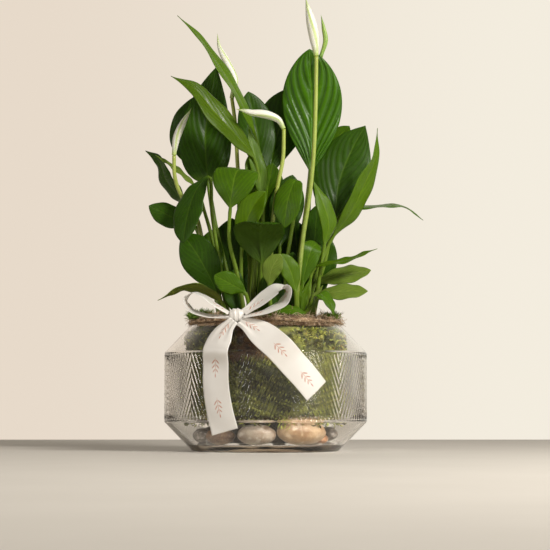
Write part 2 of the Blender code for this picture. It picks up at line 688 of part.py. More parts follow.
def pick_path():
    """The pick that holds the bow: from behind the knot over the moss ring, then down into it."""
    knot = knot_centre()
    level = BOWL_HEIGHT + RING_RISE + 2 * PICK_RADIUS + GAP
    turn = math.radians(KNOT_TURN)
    start = round_axis(turn, math.hypot(knot.x, knot.y) - KNOT_SIZE.y / 2 - PICK_RADIUS - GAP, level)
    bend = round_axis(turn, ring_brim() - PICK_INSET, level)
    tip = round_axis(turn, ring_brim() - PICK_INSET, BOWL_HEIGHT - PICK_DEPTH)
    return start, bend, tip


def build_pick(collection):
    path = pick_path()
    obj = tube("bow_pick", path, [PICK_RADIUS] * len(path), collection)
    paint(obj, (0.72, 0.66, 0.52), 0.5)


def cutter_cylinder(name, start, end, radius, collection):
    """A hidden cylinder between two points, for a Boolean."""
    start, end = Vector(start), Vector(end)
    mesh = bpy.data.meshes.new(name)
    bm = bmesh.new()
    bmesh.ops.create_cone(bm, cap_ends=True, segments=10, radius1=radius, radius2=radius,
                          depth=(end - start).length)
    bm.to_mesh(mesh)
    bm.free()
    obj = bpy.data.objects.new(name, mesh)
    obj.location = (start + end) / 2
    obj.rotation_mode = "QUATERNION"
    obj.rotation_quaternion = Vector((0, 0, 1)).rotation_difference(end - start)
    obj.hide_render = True
    obj.display_type = "WIRE"
    collection.objects.link(obj)
    return obj


def cut(target, cutter):
    boolean = target.modifiers.new(cutter.name, "BOOLEAN")
    boolean.operation = "DIFFERENCE"
    boolean.object = cutter


def cut_sockets(root_ball, cutters):
    """A hole in the soil for each stalk."""
    radius = STALK_ROOT_RADIUS + 2 * GAP
    for plant in (*LEAVES, *FLOWERS):
        foot = rooted(plant.root)
        start = foot[0] - (0, 0, GAP)
        cutter = cutter_cylinder("socket_" + plant.name, start, foot[2], radius, cutters)
        cut(root_ball, cutter)


def cut_pick_hole(targets, cutters):
    _, bend, tip = pick_path()
    beyond = tip - Vector((0, 0, 2 * GAP))
    cutter = cutter_cylinder("pick_hole", bend, beyond, PICK_RADIUS + 2 * GAP, cutters)
    for target in targets:
        cut(target, cutter)


def main():
    clear_scene()
    parts = new_collection("potted_peace_lily")
    cutters = new_collection("cutters")
    build_bowl(parts)
    root_ball = build_root_ball(parts)
    lining = build_moss_lining(parts)
    ring = build_moss_ring(parts)
    build_pebbles(parts)
    build_tufts(parts)
    for leaf in LEAVES:
        build_leaf(leaf, parts)
    for flower in FLOWERS:
        build_flower(flower, parts)
    for loop in LOOPS:
        build_loop(loop, parts)
    for tail in TAILS:
        build_tail(tail, parts)
    build_knot(parts)
    build_pick(parts)
    cut_sockets(root_ball, cutters)
    cut_pick_hole((ring, lining, root_ball), cutters)


main()
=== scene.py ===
"""Potted peace lily in a cut-glass bowl: the look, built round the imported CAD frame.

Metres, +Z up, front towards -Y, like the frame. Leaves and flowers follow the CAD solids' ribs,
or run close to them, and get veins, folds and thin edges. The bowl gets its cut grooves, the
moss and soil their strands and crumbs, and the ribbon its satin and pleats.
"""

import math
import random
from collections import namedtuple

import bmesh
import bpy
import numpy as np
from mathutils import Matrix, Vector, noise


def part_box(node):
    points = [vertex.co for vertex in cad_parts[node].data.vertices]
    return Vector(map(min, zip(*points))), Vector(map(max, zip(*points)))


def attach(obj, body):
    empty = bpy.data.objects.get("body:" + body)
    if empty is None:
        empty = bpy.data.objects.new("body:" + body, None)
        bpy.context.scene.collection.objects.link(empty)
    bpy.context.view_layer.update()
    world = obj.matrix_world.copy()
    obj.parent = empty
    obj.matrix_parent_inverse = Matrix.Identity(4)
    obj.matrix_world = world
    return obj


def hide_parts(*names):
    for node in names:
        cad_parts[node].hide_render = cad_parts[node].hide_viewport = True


MM = 0.001
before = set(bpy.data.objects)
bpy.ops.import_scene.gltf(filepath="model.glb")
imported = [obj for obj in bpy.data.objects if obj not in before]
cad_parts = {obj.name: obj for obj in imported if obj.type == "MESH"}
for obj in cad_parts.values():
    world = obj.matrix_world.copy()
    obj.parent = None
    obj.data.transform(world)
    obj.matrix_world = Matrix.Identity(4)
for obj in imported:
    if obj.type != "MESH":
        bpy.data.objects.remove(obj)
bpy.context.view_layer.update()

# Places taken from the frame.
BOWL_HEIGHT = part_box("glass_bowl")[1].z
BOWL_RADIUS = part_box("glass_bowl")[1].x
SOIL_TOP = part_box("root_ball")[1].z
SOIL_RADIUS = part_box("root_ball")[1].x
MOSS_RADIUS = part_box("moss_lining")[1].x
MOSS_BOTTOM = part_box("moss_lining")[0].z
MOSS_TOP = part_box("moss_lining")[1].z
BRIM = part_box("moss_ring")[1].x
RING_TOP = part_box("moss_ring")[1].z
KNOT_LOW, KNOT_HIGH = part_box("ribbon_knot")
KNOT_CENTRE = (KNOT_LOW + KNOT_HIGH) / 2
KNOT_SIZE = KNOT_HIGH - KNOT_LOW

# The bowl's profile, as in the CAD model.
FOOT_RADIUS = 0.072
MOUTH_RADIUS = 0.074
BAND_BOTTOM = 0.029
BAND_TOP = 0.0965
SHOULDER_HEIGHT = BOWL_HEIGHT - BAND_TOP
FLARE_SLOPE = (BOWL_RADIUS - FOOT_RADIUS) / BAND_BOTTOM
SHOULDER_SLOPE = (BOWL_RADIUS - MOUTH_RADIUS) / SHOULDER_HEIGHT
GLASS_WALL = 0.004
GLASS_FLOOR = 0.008
GLASS_EASE = 0.0012         # length of the rounding on each side of a corner
NEAR_AXIS = 0.0005          # where the skin closes at the top and bottom of the glass floor
GAP = 0.0003                # between pieces that touch

# Cut grooves of the band.
PANELS = 12
PANEL_SHIFT = 15.0          # degrees from the front to the first seam on the right
GROOVE_PITCH = 0.0042
GROOVE_SLOPE = 67.0         # degrees from the horizontal
GROOVE_DEPTH = 0.0010
GROOVE_MARGIN = 0.0022      # plain glass between the grooves and the band's edges
GROOVE_FADE = 0.002         # how far a groove runs until it is fully deep
BAND_COLUMNS = 1280
BAND_ROWS = 36

# Plant.
STALK_ROOT_RADIUS = 0.0024
STALK_TOP_RADIUS = 0.0016
SOCKET_DEPTH = 0.008
BLADE_THICKNESS = 0.0005
STALK_FLARE = 0.006         # how far up a stalk its thicker foot fades out
ROW_SPACING = 0.0016        # between a blade's cross-sections
COLUMN_SPACING = 0.0013     # between points across the widest part of a blade
STALK_ROWS = 26
STEM_SPACING = 0.003
STEM_SIDES = 20
EDGE_WAVE = 0.0008
MIDRIB_RISE = 0.0009
MIDRIB_WIDTH = 0.0014
FOLD_EASE = 0.0012          # how far from the midrib the fold is rounded
CUP = 0.16                  # how far a blade's edge bends down, as a share of its half width
BROAD_BLADE = 40            # millimetres; a narrower blade swells less
SPATHE_ROLL = 0.62          # a furled spathe's radius as a share of its half width
SPATHE_THICKNESS = 0.0005
SPATHE_SPACING = 0.0011
SPATHE_STEPS = 40
SPATHE_TOP = 1.15           # a flower stem's top radius, as a share of a stalk's

# Filling.
SHEET_STRANDS = 5000
CLUMP_STRANDS = 90
RIM_STRANDS = 2600
RUNNER_START = -8           # degrees from the front
RUNNER_TURN = 92
RUNNER_POINTS = 70
CRUMBS = 420
CRUMB_REACH = 0.060         # radius of the soil that has crumbs
LINING_THICKNESS = 0.010
RING_WIDTH = 0.019
BALL_FOOT = 0.050           # radius of the soil between the pebbles
PEBBLE_CLEARANCE = 0.0045

# Ribbon.
RIBBON_WIDTH = 0.027
RIBBON_THICKNESS = 0.0003
RIBBON_PINCH = 0.013        # its width at the knot
RIBBON_OPENING = 0.016      # how far from the knot it opens out
RIBBON_STEPS = 24
PLEATS = 3
PLEAT_RISE = 0.0009
RIPPLE_RISE = 0.0006        # a ripple along the strip, which dies out away from the knot
RIPPLE_LENGTH = 0.0115
RIPPLE_REACH = 0.08
EDGE_DROP = 0.0007
LOOP_ROWS = 110
TAIL_ROWS = 120
KNOT_RINGS = 40
KNOT_SIDES = 64

# Where a blade is widest, from base 0 to tip 1, and how drawn out its tip is.
OVAL = (0.57, 0.80)
POINTED = (0.52, 1.0)
EGG = (0.35, 0.95)
LANCE = (0.45, 1.25)
DRIP = (0.40, 1.70)

Leaf = namedtuple("Leaf", "name root stalk blade width shape face fold look")
Flower = namedtuple("Flower", "name root stem spathe width face opening look")
Pebble = namedtuple("Pebble", "name turn length height depth colour")
Loop = namedtuple("Loop", "name path first last")
Tail = namedtuple("Tail", "name start path")
# quilt: how far the blade swells between its side veins. veins: side veins along a half.
# sweep: how far forward a side vein runs to the edge, as a share of the blade.
Look = namedtuple("Look", "material quilt veins sweep")

DARK = Look("leaf_dark", 0.00030, 7, 0.80)
BROAD = Look("leaf_dark", 0.00060, 7, 0.80)
MID = Look("leaf_mid", 0.00040, 7, 0.80)
QUILTED = Look("leaf_quilted", 0.00230, 4.6, 0.95)
BRIGHT = Look("leaf_bright", 0.00025, 6, 0.80)
VEINED = Look("leaf_veined", 0.00080, 5, 1.00)
OLIVE = Look("leaf_olive", 0.00030, 7, 0.80)

# root: on the soil. stalk: points on the way up. blade: from its base to its tip.
# face: the way the upper side looks. fold: degrees that each half rises from the midrib.
LEAVES = (
    Leaf("leaf_tall_right", (34, 10), ((38, 12, 80),),
         ((45, 12, 156), (47, 16, 218), (44, 6, 279)), 61, OVAL, (0, -1, 0.15), 6, QUILTED),
    Leaf("leaf_long_left", (-8, 4), ((-3, 4, 100),),
         ((-9, 0, 184), (-26, -8, 226), (-48, -14, 261), (-70, -16, 291), (-88, -16, 308)),
         26, LANCE, (0.76, -0.45, 0.47), 14, BRIGHT),
    Leaf("leaf_broad_left", (-36, 4), ((-47, 10, 55), (-52, 11, 100)),
         ((-58, 12, 144), (-61, 16, 193), (-56, 18, 234), (-50, 12, 262)),
         53, EGG, (0.1, -1, 0.1), 8, BROAD),
    Leaf("leaf_back_left", (-30, 18), ((-50, 24, 100),),
         ((-62, 28, 155), (-82, 34, 192), (-74, 38, 236)), 34, OVAL, (-0.2, -1, 0.1), 8, DARK),
    Leaf("leaf_bright_left", (-14, -6), ((-8, -8, 110),),
         ((-12, -12, 166), (-28, -22, 185), (-51, -30, 209), (-70, -34, 231), (-93, -36, 243)),
         31, LANCE, (0.45, -0.8, 0.5), 14, VEINED),
    Leaf("leaf_back_centre", (0, 18), ((-3, 19, 80),),
         ((-4, 20, 151), (-9, 26, 200), (-18, 24, 239)), 38, OVAL, (0.1, -1, 0.1), 8, DARK),
    Leaf("leaf_back_middle", (8, 34), ((5, 34, 80),),
         ((4, 36, 156), (13, 42, 202), (32, 44, 248)), 50, OVAL, (0, -1, 0.1), 8, DARK),
    Leaf("leaf_small_upper_right", (28, 32), ((42, 38, 90),),
         ((54, 42, 172), (70, 47, 192), (86, 50, 208)), 27, OVAL, (-0.3, -0.9, 0.4), 12, MID),
    Leaf("leaf_broad_right", (40, 18), ((55, 18, 45),),
         ((68, 18, 96), (75, 24, 149), (90, 26, 185), (101, 24, 204)),
         57, POINTED, (0.1, -1, 0.15), 6, BROAD),
    Leaf("leaf_bright_right", (42, 0), ((54, -2, 60),),
         ((67, -2, 88), (83, -8, 109), (99, -12, 142), (108, -12, 162), (111, -14, 195)),
         31, DRIP, (0.7, -0.58, -0.42), 14, BRIGHT),
    Leaf("leaf_flat_right", (44, 8), ((58, 8, 60),),
         ((78, 8, 113), (112, 11, 120), (140, 12, 119), (158, 12, 106)),
         24, LANCE, (0.05, -0.25, 0.97), 10, MID),
    Leaf("leaf_thin_right", (36, -20), ((42, -19, 25),),
         ((49, -22, 56), (64, -26, 60), (83, -30, 63), (97, -32, 69), (109, -34, 73)),
         16, LANCE, (0.1, -0.45, 0.9), 14, BRIGHT),
    Leaf("leaf_low_right_back", (38, -9), ((43, -8, 18),),
         ((49, -7, 40), (69, -8, 48), (87, -10, 51), (104, -10, 54)),
         30, OVAL, (-0.1, -0.65, 0.75), 10, OLIVE),
    Leaf("leaf_low_right_front", (36, -30), ((41, -30, 10),),
         ((46, -31, 22), (63, -36, 30), (81, -40, 31), (99, -42, 31)),
         27, OVAL, (0, -0.65, 0.76), 10, OLIVE),
    Leaf("leaf_curled_right", (29, -43), ((37, -43, 8),),
         ((44, -44, 16), (53, -50, 28), (61, -54, 20), (66, -58, 6)),
         18, LANCE, (0.2, -0.5, 0.85), 14, MID),
    Leaf("leaf_forward_centre", (-6, -16), ((-6, -15, 25),),
         ((-4, -16, 60), (-6, -26, 82), (-6, -46, 95), (-2, -84, 92)),
         50, LANCE, (0, 0.5, 0.85), 8, BROAD),
    Leaf("leaf_veined_left", (-20, -36), ((-28, -38, 50), (-35, -42, 80)),
         ((-34, -46, 112), (-32, -50, 130), (-28, -44, 147), (-14, -12, 150)),
         46, LANCE, (-0.15, -0.8, 0.6), 8, MID),
    Leaf("leaf_drooping_left", (-36, -10), ((-44, -15, 50), (-53, -16, 110)),
         ((-57, -16, 146), (-65, -23, 137), (-75, -28, 113), (-78, -33, 97), (-80, -38, 78)),
         35, OVAL, (-0.55, -0.78, 0.3), 10, DARK),
    Leaf("leaf_side_left", (-46, -2), ((-57, -1, 60),),
         ((-72, 0, 100), (-91, 4, 107), (-105, 6, 114), (-117, 6, 120)),
         25, OVAL, (0, -0.95, 0.3), 8, DARK),
    Leaf("leaf_hanging_left", (-44, 14), ((-56, 14, 60), (-70, 13, 98)),
         ((-84, 15, 126), (-101, 18, 148), (-109, 20, 168), (-122, 22, 178)),
         25, EGG, (-0.7, -0.5, -0.4), 10, DARK),
    Leaf("leaf_edgewise_left", (-28, 4), ((-44, 1, 50), (-60, 0, 110)),
         ((-70, 1, 138), (-84, 2, 152), (-97, 2, 162), (-110, 0, 170)),
         16, LANCE, (0.5, -0.4, 0.75), 12, OLIVE),
    Leaf("leaf_low_left", (-38, -18), ((-43, -17, 12),),
         ((-48, -18, 31), (-60, -24, 56), (-73, -26, 77), (-82, -24, 88)),
         37, OVAL, (-0.2, -0.95, 0.2), 8, DARK),
    Leaf("leaf_arching_left", (-32, -32), ((-38, -35, 8),),
         ((-42, -38, 20), (-57, -46, 31), (-75, -52, 34), (-103, -58, 21)),
         20, LANCE, (-0.1, 0.35, 0.93), 10, OLIVE),
    Leaf("leaf_small_front", (-12, -46), ((-15, -49, 10),),
         ((-20, -52, 29), (-32, -58, 36), (-49, -60, 45)),
         22, OVAL, (0.2, -0.95, -0.2), 10, MID),
    Leaf("leaf_olive_front", (6, -42), ((5, -43, 15),),
         ((4, -46, 36), (6, -50, 52), (15, -52, 66)), 20, OVAL, (0, -1, 0.1), 10, OLIVE),
    Leaf("leaf_bright_front", (24, -34), ((29, -39, 12),),
         ((29, -43, 31), (25, -46, 48), (16, -47, 67)),
         20, OVAL, (0.2, -0.95, 0.1), 10, BRIGHT),
    Leaf("leaf_drooping_centre", (18, -18), ((21, -18, 60), (29, -16, 112)),
         ((34, -20, 139), (30, -28, 141), (23, -34, 125), (18, -35, 93)),
         30, OVAL, (-0.1, -0.6, 0.8), 10, MID),
    Leaf("leaf_bent_right", (46, -16), ((52, -18, 40),),
         ((58, -19, 79), (62, -22, 98), (55, -25, 122), (47, -23, 141)),
         21, LANCE, (0.5, -0.8, 0.1), 12, BRIGHT),
    Leaf("leaf_dark_right", (30, 0), ((40, 0, 25),),
         ((48, 3, 58), (49, 5, 87), (52, 5, 121)), 26, OVAL, (0, -1, 0), 8, DARK),
    Leaf("leaf_middle_right", (27, -17), ((34, -22, 15),),
         ((36, -26, 38), (40, -28, 58), (46, -26, 75), (54, -12, 80)),
         22, OVAL, (0.1, -0.95, 0.1), 10, MID),
    Leaf("leaf_bright_centre", (-16, 8), ((-13, 4, 70),),
         ((-8, -3, 134), (-12, -6, 153), (-9, -5, 176)),
         19, OVAL, (0.3, -0.9, 0.2), 14, BRIGHT),
    Leaf("leaf_folded_centre", (-22, -18), ((-24, -13, 40),),
         ((-23, -14, 79), (-19, -20, 101), (-11, -22, 118), (0, -22, 131)),
         28, OVAL, (-0.1, -0.95, 0.2), 26, BRIGHT),
)

# Leaves of the crowd behind and between those above, each seen only in part.
CROWD = (
    Leaf("crowd_a", (-24, 22), ((-28, 24, 20),), ((-32, 26, 30), (-36, 28, 70), (-34, 28, 110)),
         44, OVAL, (0, -1, 0.1), 8, DARK),
    Leaf("crowd_b", (-10, 26), ((-10, 28, 14),), ((-10, 28, 20), (-14, 30, 60), (-18, 30, 104)),
         46, OVAL, (0.1, -1, 0.1), 8, DARK),
    Leaf("crowd_c", (6, 28), ((8, 30, 14),), ((8, 30, 20), (10, 32, 65), (6, 34, 116)),
         50, OVAL, (0, -1, 0.1), 8, DARK),
    Leaf("crowd_d", (24, 24), ((26, 26, 12),), ((26, 26, 18), (31, 30, 60), (30, 32, 108)),
         46, OVAL, (-0.1, -1, 0.1), 8, DARK),
    Leaf("crowd_e", (38, 22), ((41, 24, 10),), ((42, 24, 15), (47, 26, 50), (46, 26, 92)),
         38, OVAL, (-0.2, -1, 0.1), 8, DARK),
    Leaf("crowd_f", (0, 14), ((-2, 15, 50),), ((-2, 16, 92), (0, 16, 125), (7, 14, 164)),
         36, OVAL, (-0.1, -1, 0.1), 12, MID),
    Leaf("crowd_g", (-10, 6), ((-15, 8, 60),), ((-20, 8, 90), (-15, 6, 120), (-4, 4, 152)),
         30, OVAL, (0.2, -0.95, 0.2), 14, BRIGHT),
    Leaf("crowd_h", (16, 10), ((14, 10, 50),), ((14, 10, 80), (19, 12, 112), (27, 12, 152)),
         36, OVAL, (0.1, -1, 0.1), 10, DARK),
    Leaf("crowd_i", (-4, -20), ((-4, -20, 6),), ((-3, -21, 10), (2, -23, 32), (8, -24, 54)),
         20, OVAL, (0, -1, 0.1), 10, MID),
    Leaf("crowd_j", (-24, -28), ((-25, -29, 5),), ((-26, -30, 8), (-31, -31, 28), (-29, -32, 54)),
         22, OVAL, (0.1, -1, 0), 12, DARK),
    Leaf("crowd_k", (13, -30), ((12, -31, 6),), ((12, -31, 9), (9, -32, 30), (2, -33, 50)),
         20, OVAL, (0.1, -1, 0), 12, DARK),
    Leaf("crowd_l", (22, -10), ((24, -12, 6),), ((24, -12, 10), (22, -12, 40), (27, -10, 72)),
         28, OVAL, (0, -1, 0.1), 8, DARK),
    Leaf("crowd_m", (-40, 8), ((-44, 8, 20),), ((-46, 8, 30), (-56, 8, 60), (-54, 8, 96)),
         30, OVAL, (0.1, -1, 0.1), 10, MID),
    Leaf("crowd_n", (34, -24), ((35, -25, 6),), ((36, -26, 10), (38, -27, 28), (45, -27, 46)),
         8, LANCE, (0.2, -1, 0.1), 20, BRIGHT),
    Leaf("crowd_o", (28, -28), ((29, -29, 5),), ((30, -29, 8), (31, -30, 24), (37, -30, 42)),
         7, LANCE, (0.2, -1, 0.1), 20, BRIGHT),
    Leaf("crowd_p", (42, -20), ((44, -21, 5),), ((45, -22, 8), (48, -23, 24), (56, -24, 38)),
         9, LANCE, (0, -1, 0.3), 20, OLIVE),
    Leaf("crowd_q", (10, -49), ((8, -55, 7),), ((8, -58, 9), (20, -61, 12), (38, -60, 9)),
         12, OVAL, (0, -0.8, 0.6), 8, MID),
    Leaf("crowd_r", (46, 6), ((50, 7, 20),), ((52, 7, 30), (58, 8, 60), (60, 9, 92)),
         26, OVAL, (0, -1, 0.1), 10, DARK),
    Leaf("crowd_s", (-14, -5), ((-6, -7, 90),),
         ((-4, -9, 124), (-6, -9, 150), (-12, -9, 174), (-17, -8, 198)),
         17, LANCE, (0.25, -0.95, 0.2), 12, BRIGHT),
)

FLOWERS = (
    Flower("left", (-46, -10), ((-52, -8, 53), (-62, -6, 81), (-70, -6, 110), (-83, -6, 127),
                                (-90, -9, 146), (-91, -11, 168)),
           ((-88, -12, 186), (-82, -13, 200), (-73, -14, 216)), 11, (-0.4, -0.9, 0.2), 0.6,
           "spathe"),
    Flower("level", (4, -8), ((5, -7, 60), (7, -18, 100), (12, -26, 137), (17, -26, 162),
                              (18, -26, 192)),
           ((13, -27, 201), (2, -29, 206), (-15, -31, 208), (-30, -33, 211)), 12,
           (0.1, -0.45, -0.85), 0.6, "spathe"),
    Flower("back_left", (-18, 14), ((-16, 10, 66), (-21, 6, 111), (-27, 5, 148), (-31, 4, 206),
                                    (-34, 4, 228)),
           ((-31, 4, 246), (-38, 4, 263), (-47, 3, 282), (-49, 2, 295)), 11,
           (0.3, -0.9, 0.2), 0.6, "spathe"),
    Flower("tall", (30, -26), ((31, -33, 33), (34, -34, 61), (37, -34, 87), (41, -34, 112),
                               (44, -34, 133), (47, -34, 165), (49, -34, 210), (50, -34, 263)),
           ((47, -35, 288), (43, -36, 306), (39, -36, 322)), 15, (-0.3, -0.95, 0), 0.6,
           "spathe"),
    Flower("bud", (22, 14), ((32, 26, 60), (42, 29, 130), (50, 28, 212), (56, 26, 275)),
           ((61, 26, 293), (59, 26, 305), (56, 24, 319)), 7, (-0.2, -0.95, 0.1), 0.6,
           "bud"),
)

# turn: degrees round the bowl from the front, to the right.
PEBBLES = (
    Pebble("pebble_tan", 31, 52, 25, 23, "tan"),
    Pebble("pebble_white", -7, 37, 20, 22, "white"),
    Pebble("pebble_brown", -41, 33, 17, 20, "brown"),
    Pebble("pebble_grey", -76, 29, 15, 18, "grey"),
    Pebble("pebble_orange", 66, 13, 9, 11, "orange"),
)

# Clumps of live moss: CAD node, piece name, number of sprigs, their length and their lean.
TUFTS = (
    ("moss_tuft_left", "live_moss_left", 420, 0.012, (-0.25, -0.25, 0)),
    ("moss_tuft_right", "live_moss_right", 240, 0.009, (-0.2, -0.2, 0.1)),
)

# A loop leaves the knot and comes back to it: millimetres from the knot's centre. It turns as it
# goes, so the direction that the ribbon's width runs in is given first and last.
LOOPS = (
    Loop("ribbon_loop_left",
         ((-7, -0.5, 2.5), (-20, 0.5, 11), (-32, 1.5, 20), (-41, 1.5, 22.5), (-48, 0.5, 16),
          (-44, -1, 6), (-30, -1.5, 0), (-7, -0.5, -1)),
         (0.15, 0.96, 0.10), (0.08, 0.96, 0.20)),
    Loop("ribbon_loop_right",
         ((7, -1.5, 2.5), (19, 0, 11), (30, 1, 20), (39, 2, 26), (46, 1, 25),
          (44, -2, 14), (31, -5, 6), (7, -4, -1)),
         (-0.42, 0.82, 0.38), (-0.10, 0.98, 0.12)),
)

# A tail starts at the knot, in millimetres from its centre, and then follows the glass:
# degrees round the bowl from the front, millimetres below the mouth and off the glass.
# It bends over the band's top edge, and above that the distance is square to the shoulder.
BEND = SHOULDER_HEIGHT / MM
TAILS = (
    Tail("ribbon_tail_left", (-3, -6.5, -4),
         ((-23.6, 8, 9.4), (-26, 18, 5.8), (-26.6, BEND, 3.3), (-26.8, 40, 3), (-26.8, 58, 3),
          (-25, 80, 3), (-21.4, 104, 3))),
    Tail("ribbon_tail_right", (4, -7, -4),
         ((-5, 8, 8), (2.4, 18, 7), (7.8, BEND, 4.6), (14.5, 40, 3), (21.5, 53, 3),
          (28, 66, 3))),
)

# More stones round the back, which can't be seen from the front.
BACK_PEBBLES = (
    Pebble("pebble_back_a", 104, 30, 16, 19, "grey"),
    Pebble("pebble_back_b", 134, 36, 18, 20, "tan"),
    Pebble("pebble_back_c", 168, 28, 15, 18, "brown"),
    Pebble("pebble_back_d", 200, 34, 18, 20, "white"),
    Pebble("pebble_back_e", 234, 32, 17, 19, "grey"),
    Pebble("pebble_back_f", 262, 22, 13, 17, "brown"),
)

# the first colour is painted shade in the valleys, also mixed into darker patches. main: the
# blade. vein: veins and midrib. under: its underside.
Palette = namedtuple("Palette", "deep main vein under gloss")
PALETTES = {
    "leaf_dark": Palette((0.010, 0.032, 0.001), (0.030, 0.082, 0.003), (0.075, 0.150, 0.010),
                         (0.055, 0.105, 0.012), 0.30),
    "leaf_mid": Palette((0.024, 0.066, 0.002), (0.062, 0.140, 0.003), (0.125, 0.220, 0.014),
                        (0.085, 0.150, 0.016), 0.30),
    "leaf_quilted": Palette((0.008, 0.036, 0.001), (0.048, 0.138, 0.002), (0.080, 0.200, 0.005),
                            (0.085, 0.160, 0.015), 0.27),
    "leaf_bright": Palette((0.040, 0.090, 0.002), (0.080, 0.160, 0.003), (0.150, 0.240, 0.012),
                           (0.130, 0.220, 0.020), 0.32),
    "leaf_veined": Palette((0.026, 0.058, 0.001), (0.070, 0.128, 0.004), (0.120, 0.200, 0.012),
                           (0.110, 0.180, 0.018), 0.30),
    "leaf_olive": Palette((0.070, 0.120, 0.012), (0.150, 0.220, 0.030), (0.230, 0.290, 0.060),
                          (0.130, 0.160, 0.025), 0.34),
}
STALK_UPPER = (0.130, 0.210, 0.018)
STALK_LOWER = (0.090, 0.120, 0.016)
GLASS_TINT = (0.985, 0.980, 0.970, 1)
GLASS_SMOKE = (0.72, 0.66, 0.58, 1)
SMOKE_DENSITY = 22.0
SATIN_LIGHT = (0.82, 0.80, 0.76)
# the darker satin colour is painted shade of soft folds
SATIN_FOLD_SHADE = (0.69, 0.65, 0.60)
# the darkest moss colour is painted shade
MOSS_SHADE = (0.014, 0.016, 0.002)
MOSS_MAIN = (0.150, 0.155, 0.020)
MOSS_LIGHT = (0.520, 0.540, 0.100)
PATCH_DARK = (0.030, 0.012, 0.004)
PATCH_LIGHT = (0.19, 0.08, 0.022)
STEM_LOW = (0.17, 0.25, 0.025)
STEM_HIGH = (0.33, 0.40, 0.065)
STEM_STREAK = (0.42, 0.48, 0.12)
SPATHE_WHITE = (0.84, 0.83, 0.70)
SPATHE_GREEN = (0.42, 0.55, 0.13)
BUD_GREEN = (0.30, 0.44, 0.08)
BUD_DEEP = (0.17, 0.32, 0.035)

# Speckled skins: name, roughness, dark, main and light colour, scale of the noise, bump depth.
SPECKLED = {
    "live_moss": ("live_moss_green", 0.8, (0.035, 0.085, 0.008), (0.11, 0.23, 0.02),
                  (0.27, 0.42, 0.05), 180.0, 0.0006),
    "brown_moss": ("dried_moss_brown", 0.85, (0.13, 0.065, 0.030), (0.50, 0.33, 0.19),
                   (0.86, 0.69, 0.48), 150.0, 0.0008),
    "soil": ("compost", 0.95, (0.012, 0.007, 0.004), (0.045, 0.026, 0.015),
             (0.10, 0.065, 0.04), 260.0, 0.0012),
    "tan": ("stone_tan", 0.45, (0.24, 0.13, 0.05), (0.43, 0.30, 0.175),
            (0.52, 0.40, 0.27), 45.0, 0.0002),
    "white": ("stone_white", 0.42, (0.24, 0.16, 0.10), (0.44, 0.37, 0.29),
              (0.58, 0.52, 0.44), 60.0, 0.0002),
    "brown": ("stone_brown", 0.45, (0.08, 0.040, 0.018), (0.19, 0.11, 0.055),
              (0.44, 0.31, 0.20), 90.0, 0.0003),
    "grey": ("stone_grey", 0.45, (0.06, 0.042, 0.028), (0.15, 0.11, 0.075),
             (0.37, 0.33, 0.28), 80.0, 0.0003),
    "orange": ("stone_orange", 0.45, (0.27, 0.11, 0.04), (0.50, 0.24, 0.10),
               (0.62, 0.38, 0.20), 90.0, 0.0003),
    "wood": ("pick_wood", 0.55, (0.45, 0.33, 0.20), (0.62, 0.50, 0.33),
             (0.72, 0.61, 0.43), 200.0, 0.0002),
}

# The ribbon's printed sprig, in millimetres: place along, place across, slant, half sizes.
SPRIG_PITCH = 38.0
SPRIG_COPPER = (0.50, 0.21, 0.13)
SPRIG_LEAVES = (
    (12.0, 0.0, 0.0, 8.5, 0.22),
    (8.0, 2.1, 42.0, 2.6, 0.55),
    (8.0, -2.1, -42.0, 2.6, 0.55),
    (12.5, 2.2, 40.0, 2.5, 0.5),
    (12.5, -2.2, -40.0, 2.5, 0.5),
    (16.5, 1.6, 36.0, 2.0, 0.45),
    (16.5, -1.6, -36.0, 2.0, 0.45),
    (21.0, 0.0, 0.0, 1.8, 0.5),
)

# Stage.
GLASS_BOUNCES = 12
TABLE_BACK = 0.6
TABLE_FRONT = -1.6
TABLE_HALF = 1.2
TABLE_TOP = -0.0002         # a hair under the glass, so that light still passes between
TABLE_SHADE = (0.58, 0.545, 0.49)
TABLE_COLOUR = (0.64, 0.605, 0.55)
WALL_LEFT = (0.80, 0.70, 0.59)
WALL_RIGHT = (0.90, 0.845, 0.735)
ROOM_COLOUR = (0.34, 0.31, 0.265)
ROOM_LEFT = (0.14, 0.115, 0.085)
CEILING_COLOUR = (0.20, 0.18, 0.155)
CAMERA_PLACE = Vector((0.00925, -1.65, 0.0427))
CAMERA_TARGET = Vector((0.00925, 0, 0.174))
CAMERA_LENS = 109.05
CAMERA_SENSOR = 36
LIGHT_TARGET = Vector((0, 0, 0.2))

# Area lights: name, place, width, height, watts and colour.
LIGHTS = (
    ("key", (0.80, -0.95, 0.95), 0.30, 0.30, 19.5, (1.0, 0.965, 0.91)),
    ("strip", (1.05, -0.75, 0.30), 0.12, 0.9, 4, (1.0, 0.97, 0.93)),
    ("fill", (-1.05, -0.75, 0.40), 0.10, 0.9, 3.0, (1.0, 0.97, 0.93)),
)


# --- meshes ---


def linked(name, data):
    obj = bpy.data.objects.new(name, data)
    bpy.context.scene.collection.objects.link(obj)
    return obj


def add_piece(mesh, look, materials, node=None):
    """A new piece on the root body, with its finish; the CAD node that it stands for is hidden."""
    obj = linked(mesh.name, mesh)
    mesh.materials.append(materials[look])
    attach(obj, "root")
    if node:
        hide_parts(node)
    return obj


def mesh_of(name, points, faces, smooth=True):
    mesh = bpy.data.meshes.new(name)
    mesh.from_pydata(np.asarray(points, float).reshape(-1, 3).tolist(), [], faces)
    if smooth:
        mesh.shade_smooth()
    else:
        mesh.shade_flat()
    return mesh


def closed_mesh(name, points, faces, smooth=True):
    """A closed mesh whose faces all look out."""
    mesh = mesh_of(name, points, faces, smooth)
    bm = bmesh.new()
    bm.from_mesh(mesh)
    bmesh.ops.recalc_face_normals(bm, faces=bm.faces)
    bm.to_mesh(mesh)
    bm.free()
    return mesh


